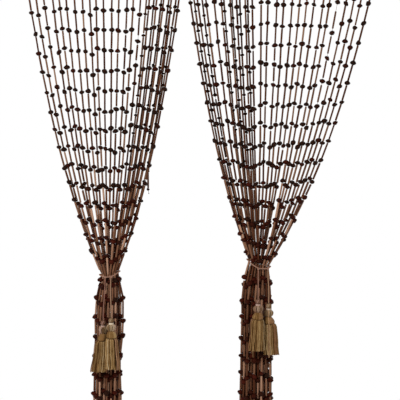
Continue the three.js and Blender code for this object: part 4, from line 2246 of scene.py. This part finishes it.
    def _thread(self, share: float, degrees: float, drift: Sequence[float], extra: float) -> list[np.ndarray]:
        """One thread of the skirt.

        Args:
            share: The share of the skirt's radius where it hangs.
            degrees: Its angle.
            drift: How far its lower end wanders sideways and in depth, and the phase of its waves.
            extra: How much longer than the others it is.

        Returns:
            Its points.
        """
        at, size = self.at, self.size
        angle = math.radians(degrees)
        points = []
        for step in range(self.skirt_steps + 1):
            down = step / self.skirt_steps
            rounded = 1 - (1 - min(down / at.shoulder_length, 1)) ** 2
            belly = size.dome * share * lerp(at.root_share, size.shoulder, rounded)
            deep = size.dome * share * lerp(at.root_share, at.deepest_share, rounded)
            width = lerp(belly, size.hem * share, 1 - (1 - down) ** at.hem_power)
            depth = deep * lerp(at.depth_root, at.depth_hem, down)
            wave = down * math.sin(drift[2] + self.waves * down)
            push = size.push * lerp(self.dome_lean, 1, rounded)
            x = width * math.cos(angle) + push + size.lean * down * down + drift[0] * wave
            y = depth * math.sin(angle) + drift[1] * wave
            sag = at.front_dip * math.sin(angle) * (1 - down)
            points.append(self.top + np.array([x, y, sag - lerp(at.skirt_drop, at.length + extra, down)]))
        return points

    def _lock(self, lines: Lines, ring: LockRing, degrees: float) -> None:
        """Adds a lock of threads that hang side by side.

        Args:
            lines: Where its threads are added.
            ring: The ring that it belongs to.
            degrees: The angle of its middle.
        """
        size = self.size
        # The ring's shade darkens the inner rings: painted shade
        lock_tone = self.random.normal(size.skirt, self.lock_spread) + ring.shade
        blushing = turn_between(degrees, size.blush) < self.blush_reach
        tone, blush = self.blush_shade if blushing else (lock_tone, 0.0)
        drift = self.random.uniform(*self.drift)
        shorter = self.random.uniform(0, self.at.hem_jitter)
        wander = np.array(self.own_drift)
        pitch = math.degrees(self.thread_pitch / (size.dome * ring.share))
        for i in range(ring.threads):
            place = degrees + (i - (ring.threads - 1) / 2) * pitch
            own = float(np.clip(tone + self.random.normal(0, self.thread_spread), self.darkest, 1))
            extra = -shorter - self.random.uniform(0, 1)
            own_drift = drift + self.random.uniform(-wander, wander)
            lines.add(self._thread(ring.share, place, own_drift, extra), self.thread_radius, own, blush)

    def make_skirt(self, material: Material) -> None:
        """The dome, its band, and the threads that hang from under it.

        Args:
            material: The yarn's finish.
        """
        size, lines = self.size, Lines()
        self._dome(lines)
        # The dark band is painted shadow under the dome's lip
        self._wind(lines, self.band, self.band_shadow_tone, size.dome)
        for ring in self.rings:
            for i in range(ring.locks):
                turn = 360 * (i + ring.share) / ring.locks
                self._lock(lines, ring, turn + self.random.uniform(-self.lock_jitter, self.lock_jitter))
        for degrees, extra in size.strays:
            drift = (*self.stray_drift, self.random.uniform(0, 2 * math.pi))
            thread = self._thread(self.stray_share, degrees, drift, extra)
            lines.add(thread, self.stray_thick, *self.stray_shade)
        if size.loose_cord is not None:
            degrees = size.loose_cord
            route = [self._ring_point(share * size.ball, degrees, drop) for drop, share in self.cord_route]
            lines.add(smooth_route(route, 3 * self.skirt_steps), self.cord_thick, *self.cord_shade)
        skirt = lines.sweep(f"tassel_skirt_{size.name}", material, sides=6)
        place_piece(skirt, Slot.TASSEL, f"tassel_{size.name}")


# Floor, light and camera


@dataclass(frozen=True)
class SoftBox:
    """A square area light: its place and side in metres, and its power in watts."""

    name: str
    place: Point
    size: float
    power: float


@dataclass(frozen=True)
class Studio:
    """A pale floor, soft light and the camera at the photograph's viewing angle."""

    floor_z: float = -1.83
    floor_size: float = 6.0
    floor_stops: Stops = ((0.3, (232, 231, 229)), (0.7, (238, 237, 235)))
    white: Colour = (1.0, 1.0, 1.0, 1.0)
    ambient: float = 0.42
    lights: tuple[SoftBox, ...] = (
        SoftBox("key", (-1.9, -2.5, 0.9), 1.0, 70.0),
        SoftBox("fill", (2.2, -2.4, -0.2), 1.6, 14.0),
        SoftBox("back", (0.9, 2.8, 0.3), 1.6, 30.0),
    )
    lit: Point = (0.0, 0.0, -0.7)
    camera_place: Point = (0.0, -3.2, -0.59)
    seen_width: float = 1.0
    sensor: float = 36.0

    def make_floor(self) -> None:
        """The floor, which isn't part of the curtain."""
        build = bmesh.new()
        bmesh.ops.create_grid(build, x_segments=1, y_segments=1, size=self.floor_size / 2)
        for vertex in build.verts:
            vertex.co.z = self.floor_z
        finish = Finish("pale_floor", Roughness=0.9)
        noise = finish.nodes.noise(finish.place(), scale=6.0, detail=3.0)
        finish.feed("Base Color", finish.ramp(noise, self.floor_stops))
        plain_piece("floor", build, finish.material)

    def make_light(self) -> None:
        """White surroundings, a soft key light from the upper left, a fill and a back light."""
        scene = bpy.context.scene
        world = bpy.data.worlds.new("white_room")
        world.use_nodes = True
        background = world.node_tree.nodes["Background"].inputs
        background["Color"].default_value = self.white
        nodes = Nodes(world.node_tree)
        seen = nodes.add("ShaderNodeLightPath", out="Is Camera Ray")
        nodes.put(background["Strength"], nodes.map(seen, to_low=self.ambient))
        scene.world = world
        scene.view_settings.view_transform = "Standard"
        for box in self.lights:
            self._light(box)

    def _light(self, box: SoftBox) -> None:
        """Adds a light aimed at the curtain.

        Args:
            box: The light.
        """
        data = bpy.data.lights.new(box.name, "AREA")
        data.energy = box.power
        data.size = box.size
        light = add_object(box.name, data)
        light.location = box.place
        light.rotation_euler = (Vector(self.lit) - light.location).to_track_quat("-Z", "Y").to_euler()

    def make_camera(self) -> None:
        """A level camera straight in front of the curtain."""
        data = bpy.data.cameras.new("camera")
        data.sensor_width = self.sensor
        data.lens = self.sensor * abs(self.camera_place[1]) / self.seen_width
        camera = add_object("camera", data)
        camera.location = self.camera_place
        camera.rotation_euler = (math.pi / 2, 0, 0)
        bpy.context.scene.camera = camera


def main() -> None:
    """Builds the curtain, piece by piece."""
    logging.basicConfig(level=logging.INFO, format="%(message)s")
    studio = Studio()
    studio.make_camera()
    cord_finish, head_finish, skirt_finish = (yarn.dress() for yarn in (TIE_CORD, HEAD_YARN, TASSEL_YARN))
    for size in TASSELS:
        tassel = Tassel(size)
        tassel.make_head(head_finish)
        tassel.make_skirt(skirt_finish)
    for half in (LEFT_HALF, RIGHT_HALF):
        tie = TieSet(half, cord_finish)
        tie.make_tie()
        tie.make_tails()
        StrandSet(half).make()
    studio.make_floor()
    studio.make_light()


if __name__ == "__main__":
    main()
